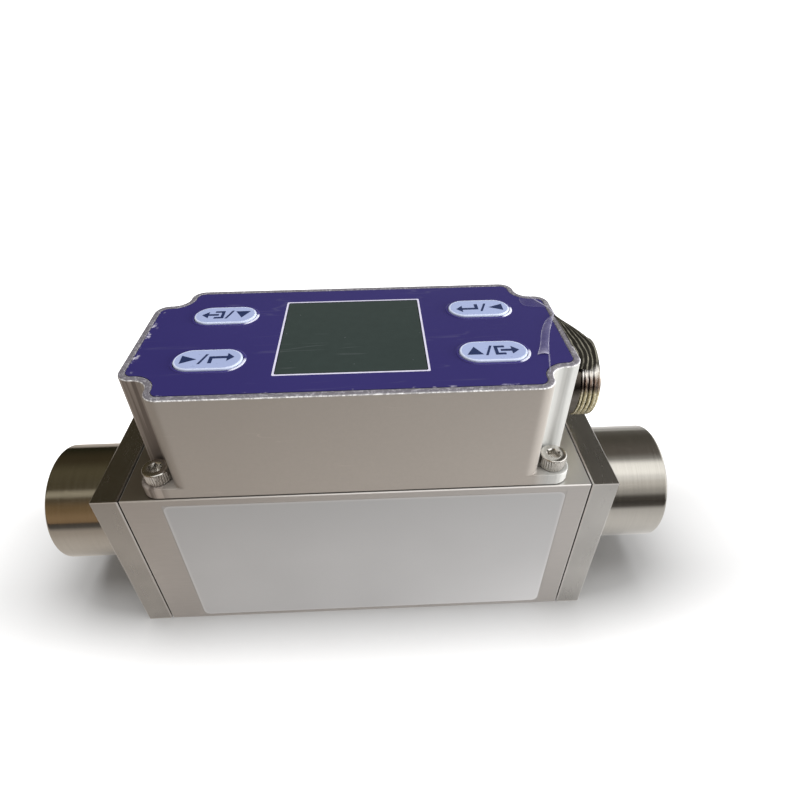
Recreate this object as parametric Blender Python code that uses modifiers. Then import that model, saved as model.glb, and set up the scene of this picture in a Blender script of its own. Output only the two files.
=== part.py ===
"""In-line gas mass flow controller.

A square channel block lies between two end fittings. A scooped electronics housing stands on
it and carries a film panel with a display and four keys. X runs with the flow, Y away from
the front face and Z up. The origin is under the middle of the block, on the resting face.
"""
import math

import bmesh
import bpy
from mathutils import Vector

MM = 0.001

# Clearances
SEAT_GAP = 0.3 * MM             # between a piece and the face that it rests on
FASTENER_GAP = 0.1 * MM         # under a screw head
FILM_GAP = 0.15 * MM            # round a film, a lens or a key in its recess
SEAL_GAP = 0.2 * MM             # round a rubber ring in its groove
CUT = 1.0 * MM                  # how far a cutter runs past the face that it opens
WELD = 0.00001                  # points closer than this are one point

# Channel block
BODY_LENGTH = 99.4 * MM
BODY_WIDTH = 44.0 * MM
BODY_HEIGHT = 44.0 * MM
BODY_EDGE = 0.2 * MM
CHANNEL_RADIUS = 7.0 * MM
BASE_HOLE_RADIUS = 1.65 * MM
BASE_HOLE_DEPTH = 8.0 * MM
BASE_HOLE_X = 30.0 * MM

# End fittings
PLATE_THICKNESS = 5.8 * MM
PLATE_EDGE = 0.25 * MM
STUB_RADIUS = 14.5 * MM
STUB_LENGTH = 19.0 * MM
STUB_EDGE = 0.5 * MM
PORT_RADIUS = 9.5 * MM
PORT_DEPTH = 17.0 * MM
PORT_LEAD_IN = 0.9 * MM
PLATE_SCREW_INSET = 6.5 * MM
SEAL_RING_RADIUS = 11.3 * MM
SEAL_WIRE_RADIUS = 0.8 * MM

# Flow conditioning behind the inlet fitting
HONEYCOMB_RADIUS = 8.2 * MM
HONEYCOMB_LENGTH = 6.0 * MM
SCREEN_THICKNESS = 0.8 * MM
CELL_PITCH = 3.0 * MM
CELL_RADIUS = 1.45 * MM
SCREEN_HOLE_RADIUS = 1.0 * MM
CELL_RINGS = 2

# Flow sensor
SENSOR_X = -14.0 * MM
SENSOR_PLUG_RADIUS = 5.7 * MM
SENSOR_PLUG_DEPTH = 14.5 * MM
SENSOR_FLANGE_RADIUS = 8.5 * MM
SENSOR_FLANGE_HEIGHT = 2.0 * MM
SENSOR_GROOVE_DROP = 5.0 * MM
SENSOR_RING_WIRE = 0.6 * MM
BLADE_THICKNESS = 0.8 * MM
BLADE_WIDTH = 5.8 * MM
BLADE_REACH = 5.0 * MM          # below the channel's axis
BLADE_STAND = 4.0 * MM          # above the plug

# Control valve
VALVE_X = 17.5 * MM
POCKET_RADIUS = 8.0 * MM
POCKET_WALL = 1.0 * MM          # between the channel and the pocket's floor
CHANNEL_STOP = 2.6 * MM         # solid wall between the two halves of the channel
RISER_RADIUS = 1.5 * MM
RISER_OFFSET = 6.0 * MM
ORIFICE_RADIUS = 1.2 * MM
NOZZLE_RADIUS = 1.7 * MM
SEAT_RADIUS = 3.4 * MM
SEAT_HEIGHT = 3.0 * MM
SEAT_FOOT_HEIGHT = 1.4 * MM
VALVE_TRAVEL = 0.5 * MM
PLUNGER_RADIUS = 3.0 * MM
PLUNGER_LENGTH = 18.0 * MM
PLUNGER_COLLAR_RADIUS = 4.8 * MM
PLUNGER_COLLAR_HEIGHT = 1.5 * MM
VALVE_DISC_RADIUS = 2.2 * MM
VALVE_DISC_THICKNESS = 1.1 * MM
VALVE_DISC_PROUD = 0.2 * MM
PLUG_DEPTH = 3.5 * MM
CORE_FLANGE_RADIUS = 9.6 * MM
CORE_FLANGE_HEIGHT = 2.0 * MM
CORE_TUBE_WALL = 1.0 * MM
CORE_STUD_RADIUS = 2.5 * MM
CORE_STUD_LENGTH = 2.4 * MM
SPRING_WIRE = 0.3 * MM
SPRING_TURNS = 3
BOBBIN_RADIUS = 8.4 * MM
BOBBIN_HEIGHT = 10.0 * MM
BOBBIN_HUB_WALL = 0.8 * MM
BOBBIN_RIM = 1.0 * MM
WINDING_INSET = 0.5 * MM
COIL_NUT_FLATS = 10.0 * MM
COIL_NUT_HEIGHT = 1.8 * MM

# Electronics housing
HOUSING_END_SETBACK = 4.7 * MM  # from each end of the block
HOUSING_LENGTH = BODY_LENGTH - 2 * HOUSING_END_SETBACK
HOUSING_SETBACK = 0.3 * MM      # from each side face of the block
HOUSING_WIDTH = BODY_WIDTH - 2 * HOUSING_SETBACK
HOUSING_HEIGHT = 25.3 * MM
HOUSING_WALL = 2.0 * MM
ROOF_THICKNESS = 2.6 * MM
ROOF_EDGE = 0.5 * MM
FLANGE_THICKNESS = 2.6 * MM
SCREW_INSET = 3.5 * MM          # corner screw from both edges, and the flange's corner radius
RELIEF_RADIUS = 3.3 * MM        # scoop round each corner screw
TIP_RADIUS = 3.2 * MM           # where a scoop runs out into a flat wall
GASKET_WIDTH = 0.9 * MM
GASKET_HEIGHT = 1.2 * MM

# Film panel, display and keys
PANEL_RIM = 1.35 * MM
PANEL_RECESS = 0.6 * MM
FILM_THICKNESS = 0.25 * MM
WINDOW_LENGTH = 29.6 * MM
WINDOW_WIDTH = 29.0 * MM
WINDOW_CORNER = 0.4 * MM
LENS_THICKNESS = 1.2 * MM
LENS_LEDGE = 1.2 * MM
KEY_END_DISTANCE = 16.7 * MM    # key centre from the end of the housing
KEY_X = HOUSING_LENGTH / 2 - KEY_END_DISTANCE
KEY_Y = 9.0 * MM
KEY_LENGTH = 13.6 * MM
KEY_WIDTH = 7.2 * MM
KEY_RISE = 0.5 * MM
KEY_EDGE = 0.3 * MM
KEY_TRAVEL = 0.4 * MM
KEY_STEM_RADIUS = 1.5 * MM
KEY_STEM_REACH = 0.1 * MM       # stem below the ceiling of the housing
SWITCH_SIZE = 6.0 * MM
SWITCH_BODY_HEIGHT = 3.3 * MM
SWITCH_BUTTON_RADIUS = 1.7 * MM
SWITCH_CLEARANCE = 0.05 * MM
LCD_SIZE = 33.0 * MM
LCD_THICKNESS = 4.4 * MM
BOARD_THICKNESS = 1.6 * MM
BOARD_MARGIN = 3.0 * MM
BOARD_GAP = 0.9 * MM            # round the board inside the housing
BOSS_RADIUS = 2.4 * MM
CHIP_SIZE = 9.0 * MM
CHIP_HEIGHT = 1.4 * MM
CHIP_X = -12.0 * MM

# Protective film that is lifting at the outlet end of the panel
PEEL_THICKNESS = 0.12 * MM
PEEL_LENGTH = 7.6 * MM
PEEL_WIDTH = 28.8 * MM
PEEL_INSET = 0.7 * MM
PEEL_CORNER = 2.4 * MM
TONGUE_REACH = 5.6 * MM         # beyond the end of the housing
TONGUE_BACK_Y = 11.0 * MM
TONGUE_TIP_Y = -2.5 * MM
TONGUE_TIP_WIDTH = 2.4 * MM
TONGUE_FRONT_Y = -8.0 * MM

# Blank label on the front face
LABEL_SHIFT = 1.7 * MM          # towards the outlet
LABEL_MARGIN = 6.8 * MM         # from each end of the block, before the shift
LABEL_RISE = 1.1 * MM           # lower edge above the resting face
LABEL_DROP = 1.9 * MM           # upper edge below the top of the block
LABEL_LENGTH = BODY_LENGTH - 2 * LABEL_MARGIN
LABEL_HEIGHT = BODY_HEIGHT - LABEL_RISE - LABEL_DROP
LABEL_CORNER = 1.2 * MM
LABEL_THICKNESS = 0.2 * MM
LABEL_BED = 0.1 * MM            # adhesive under the label

# Electrical connector on the outlet end of the housing
CONNECTOR_HEIGHT = 12.4 * MM    # axis above the housing's base
THREAD_RADIUS = 8.8 * MM
THREAD_LENGTH = 4.3 * MM
THREAD_EDGE = 0.5 * MM
COLLAR_RADIUS = 8.9 * MM
COLLAR_LENGTH = 3.1 * MM
BARREL_RADIUS = 7.7 * MM
BARREL_LENGTH = 9.0 * MM
SOCKET_RADIUS = 6.6 * MM
INSERT_FRONT = 0.8 * MM         # face of the insert in front of the housing wall
INSERT_BACK = 8.0 * MM
PIN_RADIUS = 0.8 * MM
PIN_CIRCLE = 4.2 * MM
PIN_FRONT = 5.0 * MM
PIN_BACK = 9.6 * MM
CONNECTOR_NUT_FLATS = 19.0 * MM
CONNECTOR_NUT_HEIGHT = 2.4 * MM
LOOM_RADIUS = 1.3 * MM
LOOM_END_X = 5.0 * MM
LOOM_SIDE = 13.2 * MM

# Screws: head radius, head height, socket across flats, socket depth, thread radius
M3_HEAD_RADIUS = 2.75 * MM
M3_HEAD_HEIGHT = 3.0 * MM
M3_SOCKET_FLATS = 2.5 * MM
M3_SOCKET_DEPTH = 1.5 * MM
M3_RADIUS = 1.5 * MM
M3_LENGTH = 6.0 * MM
M4_HEAD_RADIUS = 3.5 * MM
M4_HEAD_HEIGHT = 4.0 * MM
M4_SOCKET_FLATS = 3.0 * MM
M4_SOCKET_DEPTH = 2.0 * MM
M4_RADIUS = 2.0 * MM
M4_LENGTH = 10.0 * MM
M2_HEAD_RADIUS = 1.9 * MM
M2_HEAD_HEIGHT = 1.3 * MM
M2_RADIUS = 0.9 * MM
M2_LENGTH = 5.2 * MM
HOLE_GAP = 0.3 * MM             # round a screw in its hole
HEAD_DROP = 0.2 * MM            # head of a plate screw below the plate's face

# Facets
ARC_STEPS = 4                   # steps in a quarter turn of an outline
ROUND_STEPS = 28
SMALL_STEPS = 12
TURNED_STEPS = 16               # hidden turned pieces
HIDDEN_STEPS = 8                # hidden holes
HIDDEN_ARC_STEPS = 2

# Places that follow from the sizes
CHANNEL_Z = BODY_HEIGHT / 2
PLATE_FACE = BODY_LENGTH / 2 + SEAT_GAP
CONDITION_DEPTH = HONEYCOMB_LENGTH + SCREEN_THICKNESS + 2 * SEAT_GAP
POCKET_FLOOR = CHANNEL_Z + CHANNEL_RADIUS + POCKET_WALL
SEAT_TOP = POCKET_FLOOR + SEAT_GAP + SEAT_HEIGHT
DISC_BASE = SEAT_TOP + SEAT_GAP
PLUNGER_BASE = DISC_BASE + VALVE_DISC_PROUD
PLUNGER_TOP = PLUNGER_BASE + PLUNGER_LENGTH
PLUNGER_SHOULDER = PLUNGER_BASE + PLUNGER_COLLAR_HEIGHT
CORE_BORE_RADIUS = PLUNGER_RADIUS + HOLE_GAP
CORE_TUBE_RADIUS = CORE_BORE_RADIUS + CORE_TUBE_WALL
CORE_FLANGE_TOP = BODY_HEIGHT + SEAT_GAP + CORE_FLANGE_HEIGHT
BOBBIN_BASE = CORE_FLANGE_TOP + SEAT_GAP
BOBBIN_TOP = BOBBIN_BASE + BOBBIN_HEIGHT
BOBBIN_BORE = CORE_TUBE_RADIUS + HOLE_GAP
HOUSING_BASE = BODY_HEIGHT + SEAT_GAP
HOUSING_TOP = HOUSING_BASE + HOUSING_HEIGHT
FLANGE_TOP = HOUSING_BASE + FLANGE_THICKNESS
CEILING = HOUSING_TOP - ROOF_THICKNESS
PANEL_FLOOR = HOUSING_TOP - PANEL_RECESS
FILM_BASE = PANEL_FLOOR + SEAT_GAP
FILM_TOP = FILM_BASE + FILM_THICKNESS
LENS_BASE = FILM_TOP - LENS_THICKNESS
KEY_TOP = FILM_TOP + KEY_RISE
KEY_FLOOR = FILM_BASE - KEY_TRAVEL - SEAT_GAP
STEM_BASE = CEILING - KEY_STEM_REACH
LCD_TOP = CEILING - SEAT_GAP
BOARD_TOP = LCD_TOP - LCD_THICKNESS - SEAT_GAP
BOARD_BASE = BOARD_TOP - BOARD_THICKNESS
SWITCH_BASE = BOARD_TOP + SEAT_GAP
SWITCH_TOP = STEM_BASE - KEY_TRAVEL - SWITCH_CLEARANCE
CORNER_SCREW_X = HOUSING_LENGTH / 2 - SCREW_INSET
CORNER_SCREW_Y = HOUSING_WIDTH / 2 - SCREW_INSET
BOSS_X = CORNER_SCREW_X - RELIEF_RADIUS - HOUSING_WALL - BOARD_GAP - BOARD_MARGIN
BOSS_Y = HOUSING_WIDTH / 2 - HOUSING_WALL - BOARD_GAP - BOARD_MARGIN
CONNECTOR_Z = HOUSING_BASE + CONNECTOR_HEIGHT
HOUSING_END = HOUSING_LENGTH / 2

SIGNS = ((-1, -1), (1, -1), (-1, 1), (1, 1))
SIDES = {(-1, -1): "front_left", (1, -1): "front_right", (-1, 1): "back_left", (1, 1): "back_right"}

TURN_TO = {
    "+Z": (0.0, 0.0, 0.0),
    "-Z": (math.pi, 0.0, 0.0),
    "+X": (0.0, math.pi / 2, 0.0),
    "-X": (0.0, -math.pi / 2, 0.0),
    "-Y": (math.pi / 2, 0.0, 0.0),
}

# Name: colour, roughness, metallic
FINISHES = {
    "block_aluminium": ((0.36, 0.34, 0.32), 0.42, 0.9),
    "fitting_steel": ((0.42, 0.40, 0.37), 0.28, 1.0),
    "housing_aluminium": ((0.38, 0.36, 0.34), 0.38, 0.9),
    "screw_steel": ((0.55, 0.53, 0.50), 0.25, 1.0),
    "panel_film": ((0.047, 0.037, 0.162), 0.22, 0.0),
    "key_film": ((0.52, 0.58, 0.80), 0.35, 0.0),
    "display_glass": ((0.045, 0.058, 0.055), 0.15, 0.0),
    "clear_film": ((0.50, 0.48, 0.60), 0.12, 0.0),
    "label_film": ((0.42, 0.41, 0.39), 0.55, 0.0),
    "nickel_brass": ((0.50, 0.46, 0.38), 0.25, 1.0),
    "insulator": ((0.02, 0.02, 0.022), 0.5, 0.0),
    "contact_gold": ((0.75, 0.55, 0.22), 0.25, 1.0),
    "rubber": ((0.02, 0.02, 0.02), 0.8, 0.0),
    "board_green": ((0.02, 0.12, 0.05), 0.5, 0.0),
    "copper_winding": ((0.55, 0.20, 0.06), 0.35, 1.0),
    "valve_steel": ((0.50, 0.49, 0.47), 0.3, 1.0),
}


def clear_scene():
    """Empty the scene before the model is built."""
    for item in list(bpy.data.objects):
        bpy.data.objects.remove(item, do_unlink=True)


def make_collection(name):
    """A collection linked to the scene."""
    collection = bpy.data.collections.new(name)
    bpy.context.scene.collection.children.link(collection)
    return collection


def make_materials():
    """One Principled material for each finish."""
    materials = {}
    for name, (colour, roughness, metallic) in FINISHES.items():
        material = bpy.data.materials.new(name)
        material.use_nodes = True
        shader = material.node_tree.nodes["Principled BSDF"]
        shader.inputs["Base Color"].default_value = (*colour, 1.0)
        shader.inputs["Roughness"].default_value = roughness
        shader.inputs["Metallic"].default_value = metallic
        material.diffuse_color = (*colour, 1.0)
        materials[name] = material
    return materials


clear_scene()
PARTS = make_collection("mass_flow_controller")
CUTTERS = make_collection("cutters")
MATERIALS = make_materials()


# Outlines, as lists of (x, y) that run counter-clockwise

def rounded_polygon(corners, steps=ARC_STEPS):
    """Replace each (x, y, radius) corner by an arc that is tangent to both of its sides."""
    outline = []
    count = len(corners)
    for index, (x, y, radius) in enumerate(corners):
        here = Vector((x, y))
        before = Vector(corners[index - 1][:2]) - here
        after = Vector(corners[(index + 1) % count][:2]) - here
        before.normalize()
        after.normalize()
        turn = math.pi - before.angle(after)
        if radius <= 0 or turn < 0.001:
            outline.append((x, y))
            continue
        reach = radius * math.tan(turn / 2)
        centre = here + (before + after).normalized() * (radius / math.cos(turn / 2))
        start = here + before * reach - centre
        side = 1 if before.x * after.y - before.y * after.x < 0 else -1
        arc_steps = max(1, round(steps * turn / (math.pi / 2)))
        for step in range(arc_steps + 1):
            angle = side * turn * step / arc_steps
            cosine, sine = math.cos(angle), math.sin(angle)
            outline.append((centre.x + start.x * cosine - start.y * sine,
                            centre.y + start.x * sine + start.y * cosine))
    return outline


def rectangle(length, width, radius=0.0, centre=(0.0, 0.0), steps=ARC_STEPS):
    """A rectangle with rounded corners."""
    half_x, half_y = length / 2, width / 2
    cx, cy = centre
    return rounded_polygon([(cx - half_x, cy - half_y, radius), (cx + half_x, cy - half_y, radius),
                            (cx + half_x, cy + half_y, radius), (cx - half_x, cy + half_y, radius)], steps)


def regular(radius, sides, centre=(0.0, 0.0), start=0.0):
    """A regular polygon, or a circle when it has many sides."""
    return [(centre[0] + radius * math.cos(start + 2 * math.pi * k / sides),
             centre[1] + radius * math.sin(start + 2 * math.pi * k / sides)) for k in range(sides)]


def scooped_outline(inset, steps=ARC_STEPS):
    """The housing's plan: a rectangle with a scoop round each corner screw, moved in by inset."""
    half_x = HOUSING_LENGTH / 2 - inset
    half_y = HOUSING_WIDTH / 2 - inset
    notch_x = CORNER_SCREW_X - RELIEF_RADIUS - inset
    notch_y = CORNER_SCREW_Y - RELIEF_RADIUS - inset
    tip = max(TIP_RADIUS - inset, 0.0)
    hollow = RELIEF_RADIUS + inset
    quarter = [(half_x, notch_y, tip), (notch_x, notch_y, hollow), (notch_x, half_y, tip)]
    corners = list(quarter)
    corners += [(-x, y, radius) for x, y, radius in reversed(quarter)]
    corners += [(-x, -y, radius) for x, y, radius in quarter]
    corners += [(x, -y, radius) for x, y, radius in reversed(quarter)]
    return rounded_polygon(corners, steps)


def honeycomb_cells(pitch, radius, rings, sides=6):
    """Cell outlines on a hexagonal grid with so many rings round the middle one."""
    cells = []
    for row in range(-rings, rings + 1):
        for column in range(-rings, rings + 1):
            if abs(row + column) > rings:
                continue
            centre = (pitch * (column + row / 2), pitch * row * math.sqrt(3) / 2)
            cells.append(regular(radius, sides, centre, math.pi / 6))
    return cells


# Solids

def finish_object(item, material=None):
    """Put a solid in the parts collection with its material, or among the cutters."""
    if material is None:
        item.hide_render = True
        item.display_type = "WIRE"
        CUTTERS.objects.link(item)
        return item
    item.data.materials.append(MATERIALS[material])
    PARTS.objects.link(item)
    return item


def place(item, centre, axis):
    """Set the object's place, with its own Z along the named axis."""
    item.location = centre
    item.rotation_euler = TURN_TO[axis]


def mesh_object(name, mesh, centre, axis, material):
    """An object for a finished mesh."""
    item = bpy.data.objects.new(name, mesh)
    place(item, centre, axis)
    return finish_object(item, material)


def prism(name, outlines, low, high, material=None, centre=(0, 0, 0), axis="+Z", edge=0.0, holes=()):
    """Separate flat outlines extruded from low to high, with holes of other outlines cut through."""
    mesh = bpy.data.meshes.new(name)
    shape = bmesh.new()
    for outline in outlines:
        floor = shape.faces.new([shape.verts.new((x, y, low)) for x, y in outline])
        raised = bmesh.ops.extrude_face_region(shape, geom=[floor], use_keep_orig=True)["geom"]
        roof = [item for item in raised if isinstance(item, bmesh.types.BMVert)]
        bmesh.ops.translate(shape, verts=roof, vec=(0, 0, high - low))
    bmesh.ops.remove_doubles(shape, verts=shape.verts, dist=WELD)
    bmesh.ops.recalc_face_normals(shape, faces=shape.faces)
    if edge > 0:
        bevel_rim(shape, high, edge)
    shape.to_mesh(mesh)
    shape.free()
    mesh.shade_smooth()
    mesh.set_sharp_from_angle(angle=math.radians(35))
    item = mesh_object(name, mesh, centre, axis, material)
    if holes:
        combine(item, prism(name + "_holes", holes, low - CUT, high + CUT, centre=centre, axis=axis))
    return item


def bevel_rim(shape, height, width):
    """Chamfer the edges where the top face at this height meets the walls."""
    rim = []
    for edge in shape.edges:
        on_top = all(abs(vert.co.z - height) < WELD for vert in edge.verts)
        meets_wall = any(abs(face.normal.z) < 0.5 for face in edge.link_faces)
        if on_top and meets_wall:
            rim.append(edge)
    bmesh.ops.bevel(shape, geom=rim, offset=width, offset_type="OFFSET", segments=1,
                    profile=0.5, affect="EDGES")


def box(name, size, centre, material=None, edge=0.0):
    """A block with an optional chamfer on every edge."""
    mesh = bpy.data.meshes.new(name)
    shape = bmesh.new()
    bmesh.ops.create_cube(shape, size=1.0)
    bmesh.ops.scale(shape, verts=shape.verts, vec=size)
    shape.to_mesh(mesh)
    shape.free()
    item = mesh_object(name, mesh, centre, "+Z", material)
    if edge > 0:
        bevel = item.modifiers.new("edges", "BEVEL")
        bevel.width = edge
        bevel.segments = 1
    return item


def rod(name, radius, low, high, centre, axis, material=None, sides=ROUND_STEPS):
    """A straight round or many-sided rod along an axis."""
    mesh = bpy.data.meshes.new(name)
    shape = bmesh.new()
    bmesh.ops.create_cone(shape, cap_ends=True, segments=sides, radius1=radius, radius2=radius,
                          depth=high - low)
    bmesh.ops.translate(shape, verts=shape.verts, vec=(0, 0, (low + high) / 2))
    shape.to_mesh(mesh)
    shape.free()
    return mesh_object(name, mesh, centre, axis, material)


def turned(name, profile, centre, axis, material=None, steps=ROUND_STEPS, ring=False):
    """A profile of (radius, height) turned about its axis.

    It runs down the outer side, top to bottom. A ring's profile then comes back up its bore.
    """
    mesh = bpy.data.meshes.new(name)
    count = len(profile)
    edges = [(k, k + 1) for k in range(count - 1)]
    if ring:
        edges.append((count - 1, 0))
    mesh.from_pydata([(radius, 0.0, height) for radius, height in profile], edges, [])
    item = mesh_object(name, mesh, centre, axis, material)
    screw = item.modifiers.new("turn", "SCREW")
    screw.steps = steps
    screw.render_steps = steps
    screw.use_merge_vertices = True
    screw.merge_threshold = WELD
    return item


def torus(name, radius, wire, centre, axis, material, steps=TURNED_STEPS, sides=5):
    """A rubber ring."""
    profile = [(radius + wire * math.cos(2 * math.pi * k / sides),
                -wire * math.sin(2 * math.pi * k / sides)) for k in range(sides)]
    return turned(name, profile, centre, axis, material, steps, ring=True)


def combine(target, tool, operation="DIFFERENCE"):
    """Cut or join one solid with another."""
    modifier = target.modifiers.new(tool.name, "BOOLEAN")
    modifier.operation = operation
    modifier.solver = "EXACT"
    modifier.object = tool


def cap_screw(name, head_radius, head_height, radius, length, centre, axis, flats=0.0, depth=0.0):
    """A cap screw. Its axis points out of the head, and its origin is under the head."""
    rim = head_radius * 0.1
    profile = [(0.0, head_height), (head_radius - rim, head_height), (head_radius, head_height - rim),
               (head_radius, 0.0), (radius, 0.0), (radius, -length), (0.0, -length)]
    screw = turned(name, profile, centre, axis, "screw_steel", SMALL_STEPS if flats > 0 else HIDDEN_STEPS)
    if flats > 0:
        socket = rod(name + "_socket", flats / math.sqrt(3), head_height - depth, head_height + CUT,
                     centre, axis, sides=6)
        combine(screw, socket)
    return screw


# Channel block and what is in it

def build_channel_body():
    """The block with its split channel, sensor hole, valve pocket and fastener holes."""
    body = box("channel_body", (BODY_LENGTH, BODY_WIDTH, BODY_HEIGHT), (0, 0, CHANNEL_Z),
               "block_aluminium", BODY_EDGE)
    axis_point = (0, 0, CHANNEL_Z)
    end = BODY_LENGTH / 2
    upstream_stop = VALVE_X - ORIFICE_RADIUS - CHANNEL_STOP - (NOZZLE_RADIUS - ORIFICE_RADIUS)
    downstream_start = upstream_stop + CHANNEL_STOP
    combine(body, rod("upstream_bore", CHANNEL_RADIUS, -end - CUT, upstream_stop, axis_point, "+X"))
    combine(body, rod("downstream_bore", CHANNEL_RADIUS, downstream_start, end + CUT, axis_point, "+X"))
    combine(body, rod("conditioner_bore", HONEYCOMB_RADIUS + HOLE_GAP, end - CONDITION_DEPTH, end + CUT,
                      axis_point, "-X"))
    combine(body, rod("sensor_bore", SENSOR_PLUG_RADIUS + HOLE_GAP, CHANNEL_Z, BODY_HEIGHT + CUT,
                      (SENSOR_X, 0, 0), "+Z"))
    combine(body, rod("valve_pocket", POCKET_RADIUS, POCKET_FLOOR, BODY_HEIGHT + CUT,
                      (VALVE_X, 0, 0), "+Z"))
    combine(body, rod("riser", RISER_RADIUS, CHANNEL_Z, POCKET_FLOOR + CUT,
                      (VALVE_X - RISER_OFFSET, 0, 0), "+Z", sides=HIDDEN_STEPS))
    combine(body, rod("orifice_drop", ORIFICE_RADIUS, CHANNEL_Z, POCKET_FLOOR + CUT,
                      (VALVE_X, 0, 0), "+Z", sides=HIDDEN_STEPS))
    cut_seal_grooves(body, end)
    cut_body_threads(body, end)
    gasket_outer = scooped_outline(gasket_inset() - SEAL_GAP, HIDDEN_ARC_STEPS)
    gasket_inner = scooped_outline(gasket_inset() + GASKET_WIDTH + SEAL_GAP, HIDDEN_ARC_STEPS)
    combine(body, prism("gasket_groove", [gasket_outer], BODY_HEIGHT - gasket_depth(), BODY_HEIGHT + CUT,
                        holes=[gasket_inner]))
    pocket_depth = LABEL_THICKNESS + LABEL_BED
    bed = (LABEL_LENGTH + 2 * FILM_GAP, 2 * pocket_depth, LABEL_HEIGHT + 2 * FILM_GAP)
    combine(body, box("label_bed", bed, (LABEL_SHIFT, -BODY_WIDTH / 2, LABEL_RISE + LABEL_HEIGHT / 2)))


def cut_seal_grooves(body, end):
    """A ring groove in each end face."""
    depth = 2 * (SEAL_WIRE_RADIUS + SEAL_GAP) - SEAT_GAP
    outer = SEAL_RING_RADIUS + SEAL_WIRE_RADIUS + SEAL_GAP
    inner = SEAL_RING_RADIUS - SEAL_WIRE_RADIUS - SEAL_GAP
    profile = [(outer, CUT), (outer, -depth), (inner, -depth), (inner, CUT)]
    for axis, side in (("-X", -1), ("+X", 1)):
        groove = turned("seal_groove" + axis, profile, (side * end, 0, CHANNEL_Z), axis, ring=True)
        combine(body, groove)


def cut_body_threads(body, end):
    """Tapped holes for the plate screws, the housing screws and the base fixing."""
    plate_hole = M4_RADIUS + HOLE_GAP
    reach = M4_LENGTH - (PLATE_THICKNESS - counterbore_depth())
    circles = [regular(plate_hole, HIDDEN_STEPS, centre) for centre in plate_screw_places()]
    for axis, name in (("-X", "inlet"), ("+X", "outlet")):
        combine(body, prism(name + "_plate_threads", circles, end - reach, end + CUT,
                            centre=(0, 0, CHANNEL_Z), axis=axis))
    circles = [regular(M3_RADIUS + HOLE_GAP, HIDDEN_STEPS, (CORNER_SCREW_X * sx, CORNER_SCREW_Y * sy))
               for sx, sy in SIGNS]
    screw_end = FLANGE_TOP + FASTENER_GAP - M3_LENGTH - SEAT_GAP
    combine(body, prism("housing_threads", circles, screw_end, BODY_HEIGHT + CUT))
    circles = [regular(BASE_HOLE_RADIUS, SMALL_STEPS, (BASE_HOLE_X * side, 0)) for side in (-1, 1)]
    combine(body, prism("base_threads", circles, -CUT, BASE_HOLE_DEPTH))


def gasket_inset():
    """How far the gasket's outer edge lies inside the housing's outline."""
    return (HOUSING_WALL - GASKET_WIDTH) / 2


def gasket_depth():
    """Depth of the gasket's groove below the top of the block."""
    return GASKET_HEIGHT - SEAT_GAP + 2 * FASTENER_GAP


def plate_screw_places():
    """Centres of the four plate screws round the flow axis."""
    reach_y = BODY_WIDTH / 2 - PLATE_SCREW_INSET
    reach_z = BODY_HEIGHT / 2 - PLATE_SCREW_INSET
    return [(reach_z * sz, reach_y * sy) for sz, sy in SIGNS]


def counterbore_depth():
    """Depth of the pocket for a plate screw's head."""
    return M4_HEAD_HEIGHT + HEAD_DROP


def build_end_fitting(name, side):
    """A square plate and a turned stub in one piece, with a port for a pipe thread."""
    axis = "+X" if side > 0 else "-X"
    middle = side * (PLATE_FACE + PLATE_THICKNESS / 2)
    fitting = box(name, (PLATE_THICKNESS, BODY_WIDTH, BODY_HEIGHT), (middle, 0, CHANNEL_Z),
                  "fitting_steel", PLATE_EDGE)
    face = (side * PLATE_FACE, 0, CHANNEL_Z)
    stub_end = PLATE_THICKNESS + STUB_LENGTH
    port_stop = stub_end - PORT_DEPTH
    stub = [(0.0, stub_end), (STUB_RADIUS - STUB_EDGE, stub_end), (STUB_RADIUS, stub_end - STUB_EDGE),
            (STUB_RADIUS, PLATE_THICKNESS / 2), (0.0, PLATE_THICKNESS / 2)]
    combine(fitting, turned(name + "_stub", stub, face, axis), "UNION")
    bore = [(0.0, stub_end + CUT), (PORT_RADIUS + PORT_LEAD_IN + CUT, stub_end + CUT),
            (PORT_RADIUS, stub_end - PORT_LEAD_IN), (PORT_RADIUS, port_stop),
            (CHANNEL_RADIUS, port_stop), (CHANNEL_RADIUS, -CUT), (0.0, -CUT)]
    combine(fitting, turned(name + "_bore", bore, face, axis))
    places = plate_screw_places()
    shank_holes = [regular(M4_RADIUS + HOLE_GAP, HIDDEN_STEPS, centre) for centre in places]
    head_holes = [regular(M4_HEAD_RADIUS + HOLE_GAP, SMALL_STEPS, centre) for centre in places]
    combine(fitting, prism(name + "_shank_holes", shank_holes, -CUT, PLATE_THICKNESS + CUT,
                           centre=face, axis=axis))
    combine(fitting, prism(name + "_head_holes", head_holes, PLATE_THICKNESS - counterbore_depth(),
                           PLATE_THICKNESS + CUT, centre=face, axis=axis))


def build_plate_screws(name, side):
    """Four cap screws, sunk in an end plate."""
    axis = "+X" if side > 0 else "-X"
    under_head = side * (PLATE_FACE + PLATE_THICKNESS - counterbore_depth() + FASTENER_GAP)
    for number, (dz, dy) in enumerate(plate_screw_places(), 1):
        cap_screw(f"{name}_screw_{number}", M4_HEAD_RADIUS, M4_HEAD_HEIGHT, M4_RADIUS, M4_LENGTH,
                  (under_head, dy, CHANNEL_Z + dz), axis, M4_SOCKET_FLATS, M4_SOCKET_DEPTH)


def build_end_seals():
    """The rubber ring between the block and each end plate."""
    middle = PLATE_FACE - SEAL_WIRE_RADIUS - SEAL_GAP
    for name, side in (("inlet_seal", -1), ("outlet_seal", 1)):
        torus(name, SEAL_RING_RADIUS, SEAL_WIRE_RADIUS, (side * middle, 0, CHANNEL_Z), "+X", "rubber")


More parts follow.
